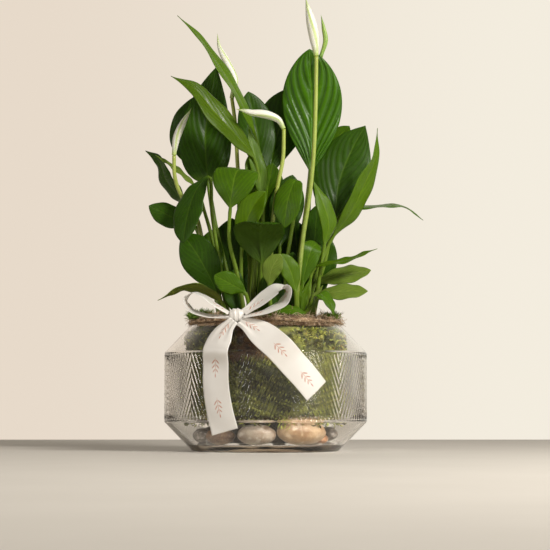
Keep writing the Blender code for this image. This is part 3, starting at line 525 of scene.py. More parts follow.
def add_attribute(mesh, name, values):
    """A number stored on each point, for the material to read."""
    layer = mesh.attributes.new(name, "FLOAT", "POINT")
    layer.data.foreach_set("value", np.asarray(values, np.float32).ravel())


def ring_faces(rings, count, closed=False, offset=0):
    """Faces between rings of points that each close on themselves; capped at the ends if open."""
    faces = []
    last = rings if closed else rings - 1
    for ring in range(last):
        low = offset + ring * count
        high = offset + (ring + 1) % rings * count
        for i in range(count):
            j = (i + 1) % count
            faces.append((low + i, low + j, high + j, high + i))
    if not closed:
        faces.append(tuple(reversed(range(offset, offset + count))))
        faces.append(tuple(range(offset + (rings - 1) * count, offset + rings * count)))
    return faces


# --- ribs ---


def smooth_path(points, stations):
    """Points on a smooth curve through the given ones, at distances measured along them."""
    points = np.array(points, float)
    spans = np.linalg.norm(np.diff(points, axis=0), axis=1)
    knots = np.concatenate([[0], np.cumsum(spans)])
    slopes = np.gradient(points, knots, axis=0)
    index = np.clip(np.searchsorted(knots, stations, side="right") - 1, 0, len(spans) - 1)
    span = spans[index][:, None]
    t = (stations[:, None] - knots[index][:, None]) / span
    start = (1 + 2 * t) * (1 - t) ** 2 * points[index] + t * (1 - t) ** 2 * span * slopes[index]
    end = t * t * (3 - 2 * t) * points[index + 1] + t * t * (t - 1) * span * slopes[index + 1]
    return start + end


def distance_along(points):
    """Distance of each point from the first, measured from point to point."""
    spans = np.linalg.norm(np.diff(np.array(points, float), axis=0), axis=1)
    return np.concatenate([[0], np.cumsum(spans)])


def unit(vector):
    return vector / np.linalg.norm(vector)


def tangents_of(path):
    return [unit(tangent) for tangent in np.gradient(path, axis=0)]


def carried_sides(path, face, middle):
    """Across and upward vectors of a rib whose upper side looks along face at its middle.

    They are carried from there to both ends without a twist.
    """
    tangents = tangents_of(path)
    across = [None] * len(path)
    across[middle] = unit(np.cross(tangents[middle], face))
    below = [(i, i + 1) for i in range(middle - 1, -1, -1)]
    above = [(i, i - 1) for i in range(middle + 1, len(path))]
    for i, known in below + above:
        across[i] = unit(across[known] - np.dot(across[known], tangents[i]) * tangents[i])
    upward = [np.cross(side, tangent) for side, tangent in zip(across, tangents)]
    return np.array(across), np.array(upward)


def from_mouth(points):
    """Points listed in millimetres from the bowl's axis and mouth, in metres from the origin."""
    return [np.array((x, y, z)) * MM + (0, 0, BOWL_HEIGHT) for x, y, z in points]


def rooted(root):
    """The straight foot of a stalk: from the bottom of its socket to just above the soil."""
    heights = (SOIL_TOP - SOCKET_DEPTH, SOIL_TOP - SOCKET_DEPTH / 2, SOIL_TOP + 0.003)
    return [np.array((root[0] * MM, root[1] * MM, z)) for z in heights]


def round_axis(turn, radius, height):
    """The point at a turn in radians from the front, to the right, round the bowl's axis."""
    return Vector((radius * math.sin(turn), -radius * math.cos(turn), height))


# --- leaves ---


def blade_share(s, shape):
    """Width of a blade at s, from its base at 0 to its tip at 1, as a share of its widest."""
    widest_at, tip_power = shape
    base_power = tip_power * widest_at / (1 - widest_at)
    widest = widest_at ** base_power * (1 - widest_at) ** tip_power
    return s ** base_power * (1 - s) ** tip_power / widest


def around_blade(halves):
    """u from -1 at one edge to 1 at the other, over the top and back underneath."""
    top = np.linspace(-1, 1, 2 * halves + 1)
    under = top[-2:0:-1]
    is_top = np.concatenate([np.ones(len(top)), np.zeros(len(under))])
    return np.concatenate([top, under]), is_top


def vein_phase(s, u, look):
    """Counts side veins along a half blade: a whole number lies on a vein."""
    return look.veins * (s - look.sweep * np.abs(u) ** 1.35 * (1 - 0.35 * s))


def quilting(s, u, look, depth):
    """How far the upper surface swells between side veins and sinks along them and the rib."""
    swell = np.abs(np.sin(np.pi * vein_phase(s, u, look))) ** 0.7 - 0.55
    inside = np.clip((1 - np.abs(u)) * 5, 0, 1) * np.clip(np.abs(u) * 9, 0, 1)
    along = np.clip(s * 9, 0, 1) * np.clip((1 - s) * 7, 0, 1)
    rib = -0.7 * np.exp(-(u / 0.06) ** 2)
    return depth * along * (swell * inside + rib)


def blade_points(s, u, is_top, leaf, noise_seed):
    """(across, up) of each point of the blade's cross-sections, from s and u grids."""
    base = STALK_TOP_RADIUS
    half = base * (1 - s) * np.exp(-8 * s) + 0.5 * leaf.width * MM * blade_share(s, leaf.shape)
    half = np.maximum(half, BLADE_THICKNESS * 0.6)
    roundness = np.exp(-14 * s)
    lean = np.radians(leaf.fold) * (1 - np.exp(-6 * s))
    flat = half * u
    ball = half * np.sin(np.pi * u / 2)
    reach = flat + (ball - flat) * roundness
    edge = np.clip((1 - np.abs(u)) * 10, 0, 1)
    thick = base * roundness * np.cos(np.pi * u / 2) + (1 - roundness) * BLADE_THICKNESS / 2 * edge
    rib_width = MIDRIB_WIDTH * (1 - 0.75 * s)
    rib = MIDRIB_RISE * (1 - s) ** 0.8 * np.exp(-(reach / rib_width) ** 2) * (1 - roundness)
    crease = np.sqrt(reach ** 2 + FOLD_EASE ** 2) - FOLD_EASE
    cup = CUP * half * u ** 2 * (1 - roundness)
    depth = leaf.look.quilt * min(1, leaf.width / BROAD_BLADE)
    wave_turns = 2 * np.pi * (3.1 * s + 0.37 * noise_seed)
    ends = np.clip(s * 6, 0, 1) * np.clip((1 - s) * 5, 0, 1)
    wave = EDGE_WAVE * ends * np.abs(u) ** 3 * np.sin(wave_turns + 1.7 * np.sign(u))
    sheet = crease * np.sin(lean) - cup + wave + quilting(s, u, leaf.look, depth)
    rise = sheet + np.where(is_top > 0, thick, -thick - rib)
    return reach * np.cos(lean), rise


def build_leaf(leaf, seed, materials, replaces=True):
    """Stalk and blade as one closed skin, with a quilted upper side and a ribbed underside."""
    stalk = rooted(leaf.root) + from_mouth(leaf.stalk)
    points = stalk + from_mouth(leaf.blade)
    knots = distance_along(points)
    base, end = knots[len(stalk)], knots[-1]
    rows = 2 * max(10, round((end - base) / ROW_SPACING / 2))
    stations = np.concatenate([
        np.linspace(0, base, STALK_ROWS, endpoint=False),
        np.linspace(base, end, rows + 1),
    ])
    path = smooth_path(points, stations)
    across, upward = carried_sides(path, leaf.face, STALK_ROWS + rows // 2)
    halves = int(np.clip(round(leaf.width * MM / 2 / COLUMN_SPACING), 8, 26))
    u, is_top = around_blade(halves)
    s = np.clip((stations - base) / (end - base), 0, 0.9999)
    s_grid, u_grid = np.meshgrid(s, u, indexing="ij")
    reach, rise = blade_points(s_grid, u_grid, is_top[None, :], leaf, seed)
    share = np.clip(stations / base, 0, 1)
    radius = STALK_ROOT_RADIUS + (STALK_TOP_RADIUS - STALK_ROOT_RADIUS) * share
    radius = radius * (1 + 0.25 * np.exp(-((1 - share) * base / STALK_FLARE) ** 2) * (share < 1))
    on_stalk = stations < base
    turn = np.pi * u / 2
    reach[on_stalk] = radius[on_stalk, None] * np.sin(turn)
    rise[on_stalk] = radius[on_stalk, None] * np.cos(turn) * np.where(is_top > 0, 1, -1)
    skin = (path[:, None, :] + reach[..., None] * across[:, None, :]
            + rise[..., None] * upward[:, None, :])
    name = leaf.name.replace("leaf_", "") + "_leaf"
    mesh = closed_mesh(name, skin, ring_faces(len(path), len(u)))
    along = np.where(on_stalk, (stations - base) / base, s)
    add_attribute(mesh, "along", np.repeat(along, len(u)))
    add_attribute(mesh, "across", u_grid)
    add_attribute(mesh, "vein", vein_phase(s_grid, u_grid, leaf.look))
    add_attribute(mesh, "upper", np.broadcast_to(is_top, s_grid.shape))
    add_piece(mesh, leaf.look.material, materials, leaf.name if replaces else None)


# --- flowers ---


def tube_skin(path, radii):
    """Rings of points round a flower's stem, with no twist between them."""
    across, upward = carried_sides(path, (0, -1, 0.2), len(path) // 2)
    turn = 2 * np.pi * np.arange(STEM_SIDES) / STEM_SIDES
    ring = np.cos(turn)[None, :, None] * across[:, None, :]
    ring = ring + np.sin(turn)[None, :, None] * upward[:, None, :]
    return path[:, None, :] + np.asarray(radii)[:, None, None] * ring


def build_stem(flower, materials):
    """The flower's stem; returns its path, which the spathe goes on from."""
    points = rooted(flower.root) + from_mouth(flower.stem)
    length = distance_along(points)[-1]
    stations = np.linspace(0, length, round(length / STEM_SPACING))
    path = smooth_path(points, stations)
    radii = np.linspace(STALK_ROOT_RADIUS, STALK_TOP_RADIUS * SPATHE_TOP, len(path))
    faces = ring_faces(len(path), STEM_SIDES)
    mesh = closed_mesh(flower.name + "_stem", tube_skin(path, radii), faces)
    add_attribute(mesh, "along", np.repeat(stations / length, STEM_SIDES))
    add_piece(mesh, "stem", materials, "flower_stem_" + flower.name)
    return path


def build_spathe(flower, stem, materials):
    """A spathe furled round itself: a rolled sheet that overlaps down one side."""
    start = stem[-1] + unit(stem[-1] - stem[-2]) * STALK_TOP_RADIUS * 0.2
    rib = [start] + from_mouth(flower.spathe)
    length = distance_along(rib)[-1]
    rows = round(length / SPATHE_SPACING)
    path = smooth_path(rib, np.linspace(0, length, rows))
    across, upward = carried_sides(path, flower.face, rows // 2)
    s = np.linspace(0, 0.999, rows)
    roll = np.linspace(-1, 1, SPATHE_STEPS)
    spread = np.pi * (1.22 - 0.25 * np.sin(np.pi * s))
    base = STALK_TOP_RADIUS * SPATHE_TOP * np.exp(-9 * s)
    radius = base + 0.5 * flower.width * MM * blade_share(s, LANCE) * SPATHE_ROLL + 0.0002
    radius = radius * (1 - s ** 14)
    spiral = radius[:, None] * (1 + 0.17 * roll[None, :])
    sheet = np.minimum(SPATHE_THICKNESS, 0.10 * radius)[:, None]
    angle = spread[:, None] * roll[None, :] + flower.opening + 1.3 * s[:, None]
    outer = (spiral + sheet / 2)[..., None]
    inner = (spiral - sheet / 2)[:, ::-1][..., None]
    ring = np.cos(angle)[..., None] * across[:, None, :]
    ring = ring + np.sin(angle)[..., None] * upward[:, None, :]
    skin = np.concatenate([path[:, None, :] + outer * ring,
                           path[:, None, :] + inner * ring[:, ::-1]], axis=1)
    mesh = closed_mesh(flower.name + "_spathe", skin, ring_faces(rows, 2 * SPATHE_STEPS))
    add_attribute(mesh, "along", np.repeat(s, 2 * SPATHE_STEPS))
    add_attribute(mesh, "across", np.tile(np.concatenate([roll, roll[::-1]]), rows))
    add_piece(mesh, flower.look, materials, "flower_spathe_" + flower.name)


# --- bowl ---


def glass_radius(height, inset):
    """Radius of the bowl's profile at a height, moved in by a distance square to it."""
    return min(
        FOOT_RADIUS + FLARE_SLOPE * height - inset * math.hypot(1, FLARE_SLOPE),
        BOWL_RADIUS - inset,
        MOUTH_RADIUS + SHOULDER_SLOPE * (BOWL_HEIGHT - height)
        - inset * math.hypot(1, SHOULDER_SLOPE),
    )


def eased(points, radius):
    """The profile with each corner between its ends rounded by a few points."""
    result = [points[0]]
    for before, corner, after in zip(points, points[1:], points[2:]):
        before, corner, after = map(np.array, (before, corner, after))
        start = corner + unit(before - corner) * radius
        end = corner + unit(after - corner) * radius
        for t in (0, 0.25, 0.5, 0.75, 1):
            result.append(tuple((1 - t) ** 2 * start + 2 * t * (1 - t) * corner + t * t * end))
    return result + [points[-1]]


def groove_depth(turn, height):
    """Depth of the band's cuts: flutes that lean in towards every other seam."""
    pair = 720 / PANELS
    off_seam = abs((math.degrees(turn) - PANEL_SHIFT + pair / 2) % pair - pair / 2)
    run = math.radians(off_seam) * BOWL_RADIUS
    slope = math.radians(GROOVE_SLOPE)
    phase = (run + (height - BAND_BOTTOM) / math.tan(slope)) * math.sin(slope) / GROOVE_PITCH
    flute = 1 - (2 * (phase % 1) - 1) ** 2
    from_edge = min(height - BAND_BOTTOM, BAND_TOP - height) - GROOVE_MARGIN
    return GROOVE_DEPTH * flute * min(max(from_edge / GROOVE_FADE, 0), 1)


def is_on_band(point):
    return point[0] > BOWL_RADIUS - 1e-6


def bowl_profile():
    """(radius, height) up the outside and down the inside, with rows added on the band."""
    corners = [(NEAR_AXIS, 0), (FOOT_RADIUS, 0), (BOWL_RADIUS, BAND_BOTTOM),
               (BOWL_RADIUS, BAND_TOP), (MOUTH_RADIUS, BOWL_HEIGHT),
               (glass_radius(BOWL_HEIGHT, GLASS_WALL), BOWL_HEIGHT),
               inner_corner(False), inner_corner(True),
               (glass_radius(GLASS_FLOOR, GLASS_WALL), GLASS_FLOOR), (NEAR_AXIS, GLASS_FLOOR)]
    profile = eased(corners, GLASS_EASE)
    start = next(i for i, pair in enumerate(zip(profile, profile[1:]))
                 if all(map(is_on_band, pair)))
    heights = np.linspace(profile[start][1], profile[start + 1][1], BAND_ROWS)[1:-1]
    return profile[:start + 1] + [(BOWL_RADIUS, z) for z in heights] + profile[start + 1:]


def build_bowl(materials):
    """The glass as one closed skin, its band cut with leaning flutes."""
    profile = bowl_profile()
    turns = 2 * np.pi * np.arange(BAND_COLUMNS) / BAND_COLUMNS
    skin = np.zeros((len(profile), BAND_COLUMNS, 3))
    for row, (radius, height) in enumerate(profile):
        cut = np.zeros(BAND_COLUMNS)
        if is_on_band((radius, height)):
            cut = np.array([groove_depth(turn, height) for turn in turns])
        skin[row, :, 0] = (radius - cut) * np.sin(turns)
        skin[row, :, 1] = -(radius - cut) * np.cos(turns)
        skin[row, :, 2] = height
    mesh = closed_mesh("cut_glass_bowl", skin, ring_faces(len(profile), BAND_COLUMNS))
    bowl = add_piece(mesh, "glass", materials, "glass_bowl")
    bowl.visible_shadow = False     # direct light reaches the moss and stones through it


def inner_corner(rising):
    """Where the inside of the band meets the flare (rising) or the shoulder."""
    middle = (BAND_BOTTOM + BAND_TOP) / 2
    low, high = (0, middle) if rising else (middle, BOWL_HEIGHT)
    for _ in range(40):
        height = (low + high) / 2
        on_band = glass_radius(height, GLASS_WALL) > BOWL_RADIUS - GLASS_WALL - 1e-9
        low, high = (low, height) if on_band == rising else (height, high)
    return BOWL_RADIUS - GLASS_WALL, height


# --- moss, soil and stones ---


def lumps(point, size, seed):
    """Smooth noise from about -1 to 1, with lumps of the given size."""
    place = Vector(point) / size + Vector((seed, 0, 0))
    return noise.fractal(place, 0.9, 2.2, 4)


def lumpy_turned(name, profile, columns, rise, size, seed):
    """A turned solid whose skin is pushed in and out by noise; the profile closes on itself."""
    turns = 2 * np.pi * np.arange(columns) / columns
    skin = []
    for radius, height in profile:
        for turn in turns:
            point = round_axis(turn, radius, height)
            push = rise * lumps(point, size, seed)
            outwards = Vector((point.x, point.y, 0)).normalized()
            skin.append(point + outwards * push * 0.8 + Vector((0, 0, push * 0.5)))
    return closed_mesh(name, skin, ring_faces(len(profile), columns, closed=True))


def fine_profile(corners, spacing):
    """A closed profile with a point about every spacing."""
    fine = []
    for a, b in zip(corners, corners[1:] + corners[:1]):
        steps = max(1, round(math.dist(a, b) / spacing))
        for i in range(steps):
            t = i / steps
            fine.append((a[0] + (b[0] - a[0]) * t, a[1] + (b[1] - a[1]) * t))
    return fine


class Strands:
    """Many short tapered strands gathered into one mesh."""

    def __init__(self):
        self.points = []
        self.faces = []
        self.tones = []

    def add(self, path, radius, tone):
        sides = 3
        path = np.asarray(path, float)
        taper = np.sin(np.pi * (0.12 + 0.83 * np.linspace(0, 1, len(path))))
        along = unit(path[-1] - path[0])
        spare = np.array((0.3, -0.7, 0.64)) if abs(along[2]) > 0.7 else np.array((0.1, 0.2, 1.0))
        side = unit(np.cross(along, spare))
        up = np.cross(side, along)
        turn = 2 * np.pi * np.arange(sides) / sides
        ring = np.cos(turn)[:, None] * side + np.sin(turn)[:, None] * up
        skin = path[:, None, :] + (radius * taper)[:, None, None] * ring[None]
        self.faces += ring_faces(len(path), sides, offset=len(self.points))
        self.points += skin.reshape(-1, 3).tolist()
        self.tones += [tone] * (len(path) * sides)

    def mesh(self, name):
        mesh = closed_mesh(name, self.points, self.faces)
        add_attribute(mesh, "tone", self.tones)
        return mesh


def out_and_along(turn):
    """Unit vectors away from the bowl's axis and round it to the right, at a turn."""
    outwards = np.array((math.sin(turn), -math.cos(turn), 0))
    sideways = np.array((math.cos(turn), math.sin(turn), 0))
    return outwards, sideways


def curl(rng, start, heading, length, bend, points):
    """A strand's path: it sets off along heading and wanders as it goes."""
    path = [np.array(start, float)]
    heading = unit(np.array(heading, float))
    for _ in range(points - 1):
        path.append(path[-1] + heading * length / (points - 1))
        heading = unit(heading + bend * np.array([rng.uniform(-1, 1) for _ in range(3)]))
    return path


def held_in(point):
    """A strand's point, kept from reaching far outside the lining."""
    share = min(1, (MOSS_RADIUS + 0.0015) / math.hypot(point[0], point[1]))
    return point * share * (1, 1, 0) + (0, 0, point[2])


def build_moss_sheet(materials):
    """Sheet moss round the soil: a lumpy mat and the strands that stand out of it."""
    shoulder = MOSS_TOP - 0.0065
    inside = MOSS_RADIUS - LINING_THICKNESS
    corners = [(MOSS_RADIUS - 0.0025, MOSS_BOTTOM), (MOSS_RADIUS - 0.001, MOSS_BOTTOM + 0.02),
               (MOSS_RADIUS - 0.001, shoulder), (MOSS_RADIUS - 0.008, MOSS_TOP),
               (inside - 0.006, MOSS_TOP), (inside, MOSS_BOTTOM)]
    mesh = lumpy_turned("sheet_moss", fine_profile(corners, 0.0024), 300, 0.0022, 0.011, 3)
    add_piece(mesh, "moss", materials, "moss_lining")

    rng = random.Random(11)
    strands = Strands()
    for _ in range(SHEET_STRANDS):
        turn = rng.uniform(-math.pi, math.pi)
        height = rng.uniform(MOSS_BOTTOM - 0.007, shoulder + 0.004)
        radius = MOSS_RADIUS - 0.0028 + rng.uniform(0, 0.0022)
        start = round_axis(turn, radius, height)
        outwards, sideways = out_and_along(turn)
        drift = rng.uniform(-1, 1)
        heading = 0.35 * outwards + drift * sideways + np.array((0, 0, rng.uniform(-0.9, 0.9)))
        path = curl(rng, start, heading, rng.uniform(0.003, 0.008), 0.7, 4)
        path = [held_in(point) for point in path]
        strands.add(path, rng.uniform(0.00040, 0.00095), rng.random() ** 2.2)
    for _ in range(CLUMP_STRANDS):
        turn = math.radians(rng.gauss(35, 6))
        height = min(rng.gauss(shoulder, 0.004), shoulder + 0.004)
        start = round_axis(turn, MOSS_RADIUS - 0.004, height)
        heading = np.array((0.5 * math.sin(turn) + rng.uniform(-0.5, 0.5),
                            -0.5 * math.cos(turn), rng.uniform(-0.2, 1.0)))
        path = curl(rng, start, heading, rng.uniform(0.004, 0.007), 0.5, 4)
        strands.add(path, rng.uniform(0.00050, 0.00100), rng.uniform(0.5, 0.8))
    add_piece(strands.mesh("sheet_moss_strands"), "moss", materials)


def build_soil(materials):
    """The root ball: lumpy compost with crumbs on top."""
    corners = [(0.0006, SOIL_TOP - 0.002), (SOIL_RADIUS - 0.008, SOIL_TOP - 0.002),
               (SOIL_RADIUS - 0.001, SOIL_TOP - 0.012), (SOIL_RADIUS - 0.001, MOSS_BOTTOM + 0.002),
               (BALL_FOOT, MOSS_BOTTOM + 0.002), (BALL_FOOT - 0.001, GLASS_FLOOR + 0.0015),
               (0.0006, GLASS_FLOOR + 0.0015)]
    mesh = lumpy_turned("potting_soil", fine_profile(corners, 0.003), 180, 0.0016, 0.007, 9)
    add_piece(mesh, "soil", materials, "root_ball")

    rng = random.Random(5)
    points, faces = [], []
    for _ in range(CRUMBS):
        turn = rng.uniform(0, 2 * math.pi)
        radius = CRUMB_REACH * math.sqrt(rng.random())
        centre = round_axis(turn, radius, SOIL_TOP - 0.0012)
        add_crumb(rng, centre, rng.uniform(0.0010, 0.0026), points, faces)
    add_piece(closed_mesh("soil_crumbs", points, faces, smooth=False), "soil", materials)


def add_crumb(rng, centre, size, points, faces):
    """A rough octahedron."""
    start = len(points)
    for axis in ((1, 0, 0), (0, 1, 0), (-1, 0, 0), (0, -1, 0), (0, 0, 1), (0, 0, -1)):
        reach = size * rng.uniform(0.6, 1.2)
        points.append(tuple(np.array(centre) + np.array(axis) * reach))
    for i in range(4):
        a, b = start + i, start + (i + 1) % 4
        faces.append((a, b, start + 4))
        faces.append((b, a, start + 5))


def build_moss_rim(materials):
    """The brown moss over the rim: a lumpy ring, its curled fibres and a twisted strand."""
    seat = BOWL_HEIGHT + GAP
    inner = BRIM - RING_WIDTH
    corners = [(BRIM - 0.0015, seat + 0.001), (BRIM - 0.003, RING_TOP - 0.0012),
               (inner + 0.004, RING_TOP - 0.001), (inner + 0.001, seat),
               (inner + 0.001, SOIL_TOP + 0.001), (BRIM - 0.0095, SOIL_TOP + 0.001),
               (BRIM - 0.0095, seat + 0.0006)]
    mesh = lumpy_turned("rim_moss", fine_profile(corners, 0.0018), 300, 0.0016, 0.007, 6)
    add_piece(mesh, "brown_moss", materials, "moss_ring")

    rng = random.Random(23)
    strands = Strands()
    for _ in range(RIM_STRANDS):
        turn = rng.uniform(-math.pi, math.pi)
        radius = rng.uniform(inner, BRIM - 0.001)
        height = rng.uniform(seat + 0.001, RING_TOP + 0.0015)
        start = round_axis(turn, radius, height)
        outwards, sideways = out_and_along(turn)
        heading = (rng.uniform(-0.4, 0.5) * outwards + rng.choice((-1, 1)) * sideways
                   + np.array((0, 0, rng.uniform(-0.7, 0.8))))
        path = curl(rng, start, heading, rng.uniform(0.005, 0.015), 0.9, 6)
        path = [kept_off_rim(point) for point in path]
        strands.add(path, rng.uniform(0.00016, 0.00038), rng.random() ** 1.5)
    for lane in range(3):
        strands.add(twisted_strand(lane), 0.0006, 0.05 + 0.1 * lane)
    add_piece(strands.mesh("rim_moss_fibres"), "brown_moss", materials)


def kept_off_rim(point):
    """A fibre's point, kept above the glass lip and near the ring."""
    radius = math.hypot(point[0], point[1])
    reach = min(radius, BRIM + 0.0035)
    floor = SOIL_TOP
    if radius > BRIM - 0.011:
        floor = BOWL_HEIGHT + 0.0006 - max(reach - MOUTH_RADIUS - 0.0005, 0)
    return np.array((point[0] * reach / radius, point[1] * reach / radius, max(point[2], floor)))


def twisted_strand(lane):
    """One lane of the dark runner that lies round the front of the rim, to the right."""
    path = []
    for i in range(RUNNER_POINTS):
        turn = math.radians(RUNNER_START + RUNNER_TURN * i / (RUNNER_POINTS - 1))
        twist = 2 * math.pi * (i / 7 + lane / 3)
        radius = BRIM - 0.0005 + 0.0009 * math.cos(twist)
        height = BOWL_HEIGHT + 0.0018 + 0.0009 * math.sin(twist) + 0.0006 * math.sin(i / 6)
        path.append(np.array(round_axis(turn, radius, height)))
    return path


def build_tuft(node, name, count, reach, lean, materials):
    """A clump of live moss: short sprigs that stand out of a core."""
    low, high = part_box(node)
    centre = (low + high) / 2
    rng = random.Random(count)
    strands = Strands()
    for _ in range(count):
        turn = rng.uniform(0, 2 * math.pi)
        spread = math.sqrt(rng.random())
        start = Vector((centre.x + 0.5 * (high.x - low.x) * spread * math.cos(turn),
                        centre.y + 0.5 * (high.y - low.y) * spread * math.sin(turn),
                        low.z - 0.001))
        heading = Vector((math.cos(turn) * spread, math.sin(turn) * spread, rng.uniform(0.5, 1.3)))
        path = curl(rng, start, heading + Vector(lean), reach * rng.uniform(0.5, 1.1), 0.4, 6)
        strands.add(path, rng.uniform(0.00030, 0.00065), 0.35 + 0.65 * rng.random())
    add_piece(strands.mesh(name), "live_moss", materials, node)


def stone_mesh(name, centre, size, turn, seed):
    """A water-worn stone: an egg with soft dents."""
    bm = bmesh.new()
    bmesh.ops.create_icosphere(bm, subdivisions=5, radius=1)
    for vert in bm.verts:
        direction = vert.co.normalized()
        swell = 1 + 0.05 * lumps(direction, 1.1, seed) + 0.012 * lumps(direction, 0.25, seed)
        vert.co = Vector([c * s / 2 for c, s in zip(direction * min(swell, 1.03), size)])
    mesh = bpy.data.meshes.new(name)
    bm.to_mesh(mesh)
    bm.free()
    for vert in mesh.vertices:
        x, y, z = vert.co
        vert.co = centre + Vector((x * math.cos(turn) - y * math.sin(turn),
                                   x * math.sin(turn) + y * math.cos(turn), z))
    mesh.shade_smooth()
    return mesh


def build_pebbles(materials):
    orbit = BALL_FOOT + PEBBLE_CLEARANCE
    for number, pebble in enumerate((*PEBBLES, *BACK_PEBBLES)):
        turn = math.radians(pebble.turn)
        size = Vector((pebble.length, pebble.depth, pebble.height)) * MM
        centre = round_axis(turn, orbit + size.y / 2, GLASS_FLOOR + GAP + size.z / 2)
        name = pebble.name.replace("pebble_", "") + "_stone"
        mesh = stone_mesh(name, centre, size, turn, number * 3.7)
        add_piece(mesh, pebble.colour, materials, pebble.name if pebble in PEBBLES else None)


# --- bow ---


def ribbon_skin(name, path, faces, openings, materials):
    """A satin strip along a path: narrow and pleated where it is pinched, flat where it is open.

    Returns the piece and the strip's length.
    """
    points = RIBBON_STEPS + 1
    v = np.linspace(-1, 1, points)
    distance = distance_along(path)
    skin = np.zeros((len(path), 2 * points, 3))
    rows = zip(path, tangents_of(path), faces, openings, distance)
    for i, (centre, tangent, face, opening, at) in enumerate(rows):
        side = unit(np.cross(tangent, face))
        up = np.cross(side, tangent)
        half = (RIBBON_PINCH + (RIBBON_WIDTH - RIBBON_PINCH) * opening) / 2
        pleat = PLEAT_RISE * (1 - opening) * np.cos(PLEATS * np.pi * v)
        ripple = RIPPLE_RISE * np.sin(at / RIPPLE_LENGTH + 2 * v) * opening
        ripple = ripple * np.exp(-at / RIPPLE_REACH)
        rise = pleat + ripple - EDGE_DROP * v ** 2 * opening
        sheet = centre + half * v[:, None] * side + rise[:, None] * up
        skin[i, :points] = sheet + up * RIBBON_THICKNESS / 2
        skin[i, points:] = sheet[::-1] - up * RIBBON_THICKNESS / 2
    piece_name = name.replace("ribbon_", "satin_")
    mesh = closed_mesh(piece_name, skin, ring_faces(len(path), 2 * points))
    across = np.tile(np.concatenate([v, v[::-1]]) * RIBBON_WIDTH / 2 / MM, len(path))
    add_attribute(mesh, "across_mm", across)
    add_attribute(mesh, "along_mm", np.repeat(distance / MM, 2 * points))
    return add_piece(mesh, "satin", materials, name), float(distance[-1])


def opening_at(distance):
    """How far the ribbon has opened out at a distance from the knot, from 0 to 1."""
    return 1 - math.exp(-(distance / RIBBON_OPENING) ** 2)


def from_knot(points):
    return [np.array(KNOT_CENTRE) + np.array(point) * MM for point in points]


def off_glass(turn, drop, off):
    """A point outside the glass; below the band's top a ribbon hangs straight down."""
    height = BOWL_HEIGHT - drop * MM
    radius = BOWL_RADIUS + off * MM
    if drop <= BEND:
        slant = math.hypot(1, SHOULDER_SLOPE)
        radius = MOUTH_RADIUS + SHOULDER_SLOPE * drop * MM + off * MM * slant
    return np.array(round_axis(math.radians(turn), radius, height))


def build_loop(loop, materials):
    points = from_knot(loop.path)
    length = distance_along(points)[-1]
    stations = np.linspace(0, length, LOOP_ROWS)
    path = smooth_path(points, stations)
    first, last = np.array(loop.first), np.array(loop.last)
    widths = [first + (last - first) * at / length for at in stations]
    faces = [np.cross(width, tangent) for width, tangent in zip(widths, tangents_of(path))]
    openings = [opening_at(min(at, length - at)) for at in stations]
    obj, cut = ribbon_skin(loop.name, path, faces, openings, materials)


def build_tail(tail, materials):
    points = from_knot([tail.start]) + [off_glass(*point) for point in tail.path]
    length = distance_along(points)[-1]
    stations = np.linspace(0, length, TAIL_ROWS)
    path = smooth_path(points, stations)
    faces = []
    for x, y, z in path:
        lift = max(0, z - BAND_TOP) / SHOULDER_HEIGHT
        faces.append(unit(np.array((x, y, 0))) + (0, 0, 0.8 * min(lift, 1)))
    openings = [opening_at(at) for at in stations]
    obj, cut = ribbon_skin(tail.name, path, faces, openings, materials)


def rounded_off(wave):
    """A sine or cosine pushed outwards, so that a round section becomes squarer."""
    return math.copysign(abs(wave) ** 0.8, wave)


def build_knot(materials):
    """The knot: a short length of the ribbon wound over the pinch, with creases round it."""
    half = KNOT_SIZE / 2
    skin = []
    for i in range(KNOT_RINGS):
        along = -1 + 2 * (i + 0.5) / KNOT_RINGS
        reach = (1 - abs(along) ** 2.6) ** 0.42
        for j in range(KNOT_SIDES):
            turn = 2 * math.pi * j / KNOT_SIDES
            crease = 1 - 0.05 * math.cos(3.4 * math.pi * along + 1.6 * math.sin(turn + 0.6))
            crease -= 0.02 * math.cos(7 * math.pi * along - 2 * math.cos(turn))
            y = rounded_off(math.cos(turn))
            z = rounded_off(math.sin(turn))
            skin.append(KNOT_CENTRE + Vector((half.x * along, half.y * reach * crease * y,
                                              half.z * reach * crease * z)))
    mesh = closed_mesh("satin_knot", skin, ring_faces(KNOT_RINGS, KNOT_SIDES))
    add_attribute(mesh, "across_mm", [60] * len(skin))      # beyond the sprigs
    add_attribute(mesh, "along_mm", [0] * len(skin))
    add_piece(mesh, "satin", materials, "ribbon_knot")


def finish_pick(materials):
    """The florist's pick keeps its CAD shape and gets a wooden look."""
    pick = bpy.data.objects["bow_pick"]
    pick.data.materials.clear()
    pick.data.materials.append(materials["wood"])


# --- materials ---


def add(tree, kind, inputs=None, **settings):
    """A shader node with its settings; an input is a number, a colour or another's output."""
    made = tree.nodes.new(kind)
    for key, value in settings.items():
        setattr(made, key, value)
    for key, value in (inputs or {}).items():
        if isinstance(value, bpy.types.NodeSocket):
            tree.links.new(value, made.inputs[key])
        else:
            made.inputs[key].default_value = value
    return made


def new_material(name, roughness, **sockets):
    """(material, its tree, its shader), with the shader's own numbers set."""
    material = bpy.data.materials.new(name)
    material.use_nodes = True
    tree = material.node_tree
    shader = tree.nodes["Principled BSDF"]
    shader.inputs["Roughness"].default_value = roughness
    for key, value in sockets.items():
        shader.inputs[key.replace("_", " ")].default_value = value
    return material, tree, shader


def maths(tree, operation, a, b=0.0):
    return add(tree, "ShaderNodeMath", {0: a, 1: b}, operation=operation).outputs[0]


def times(tree, a, b):
    return maths(tree, "MULTIPLY", a, b)


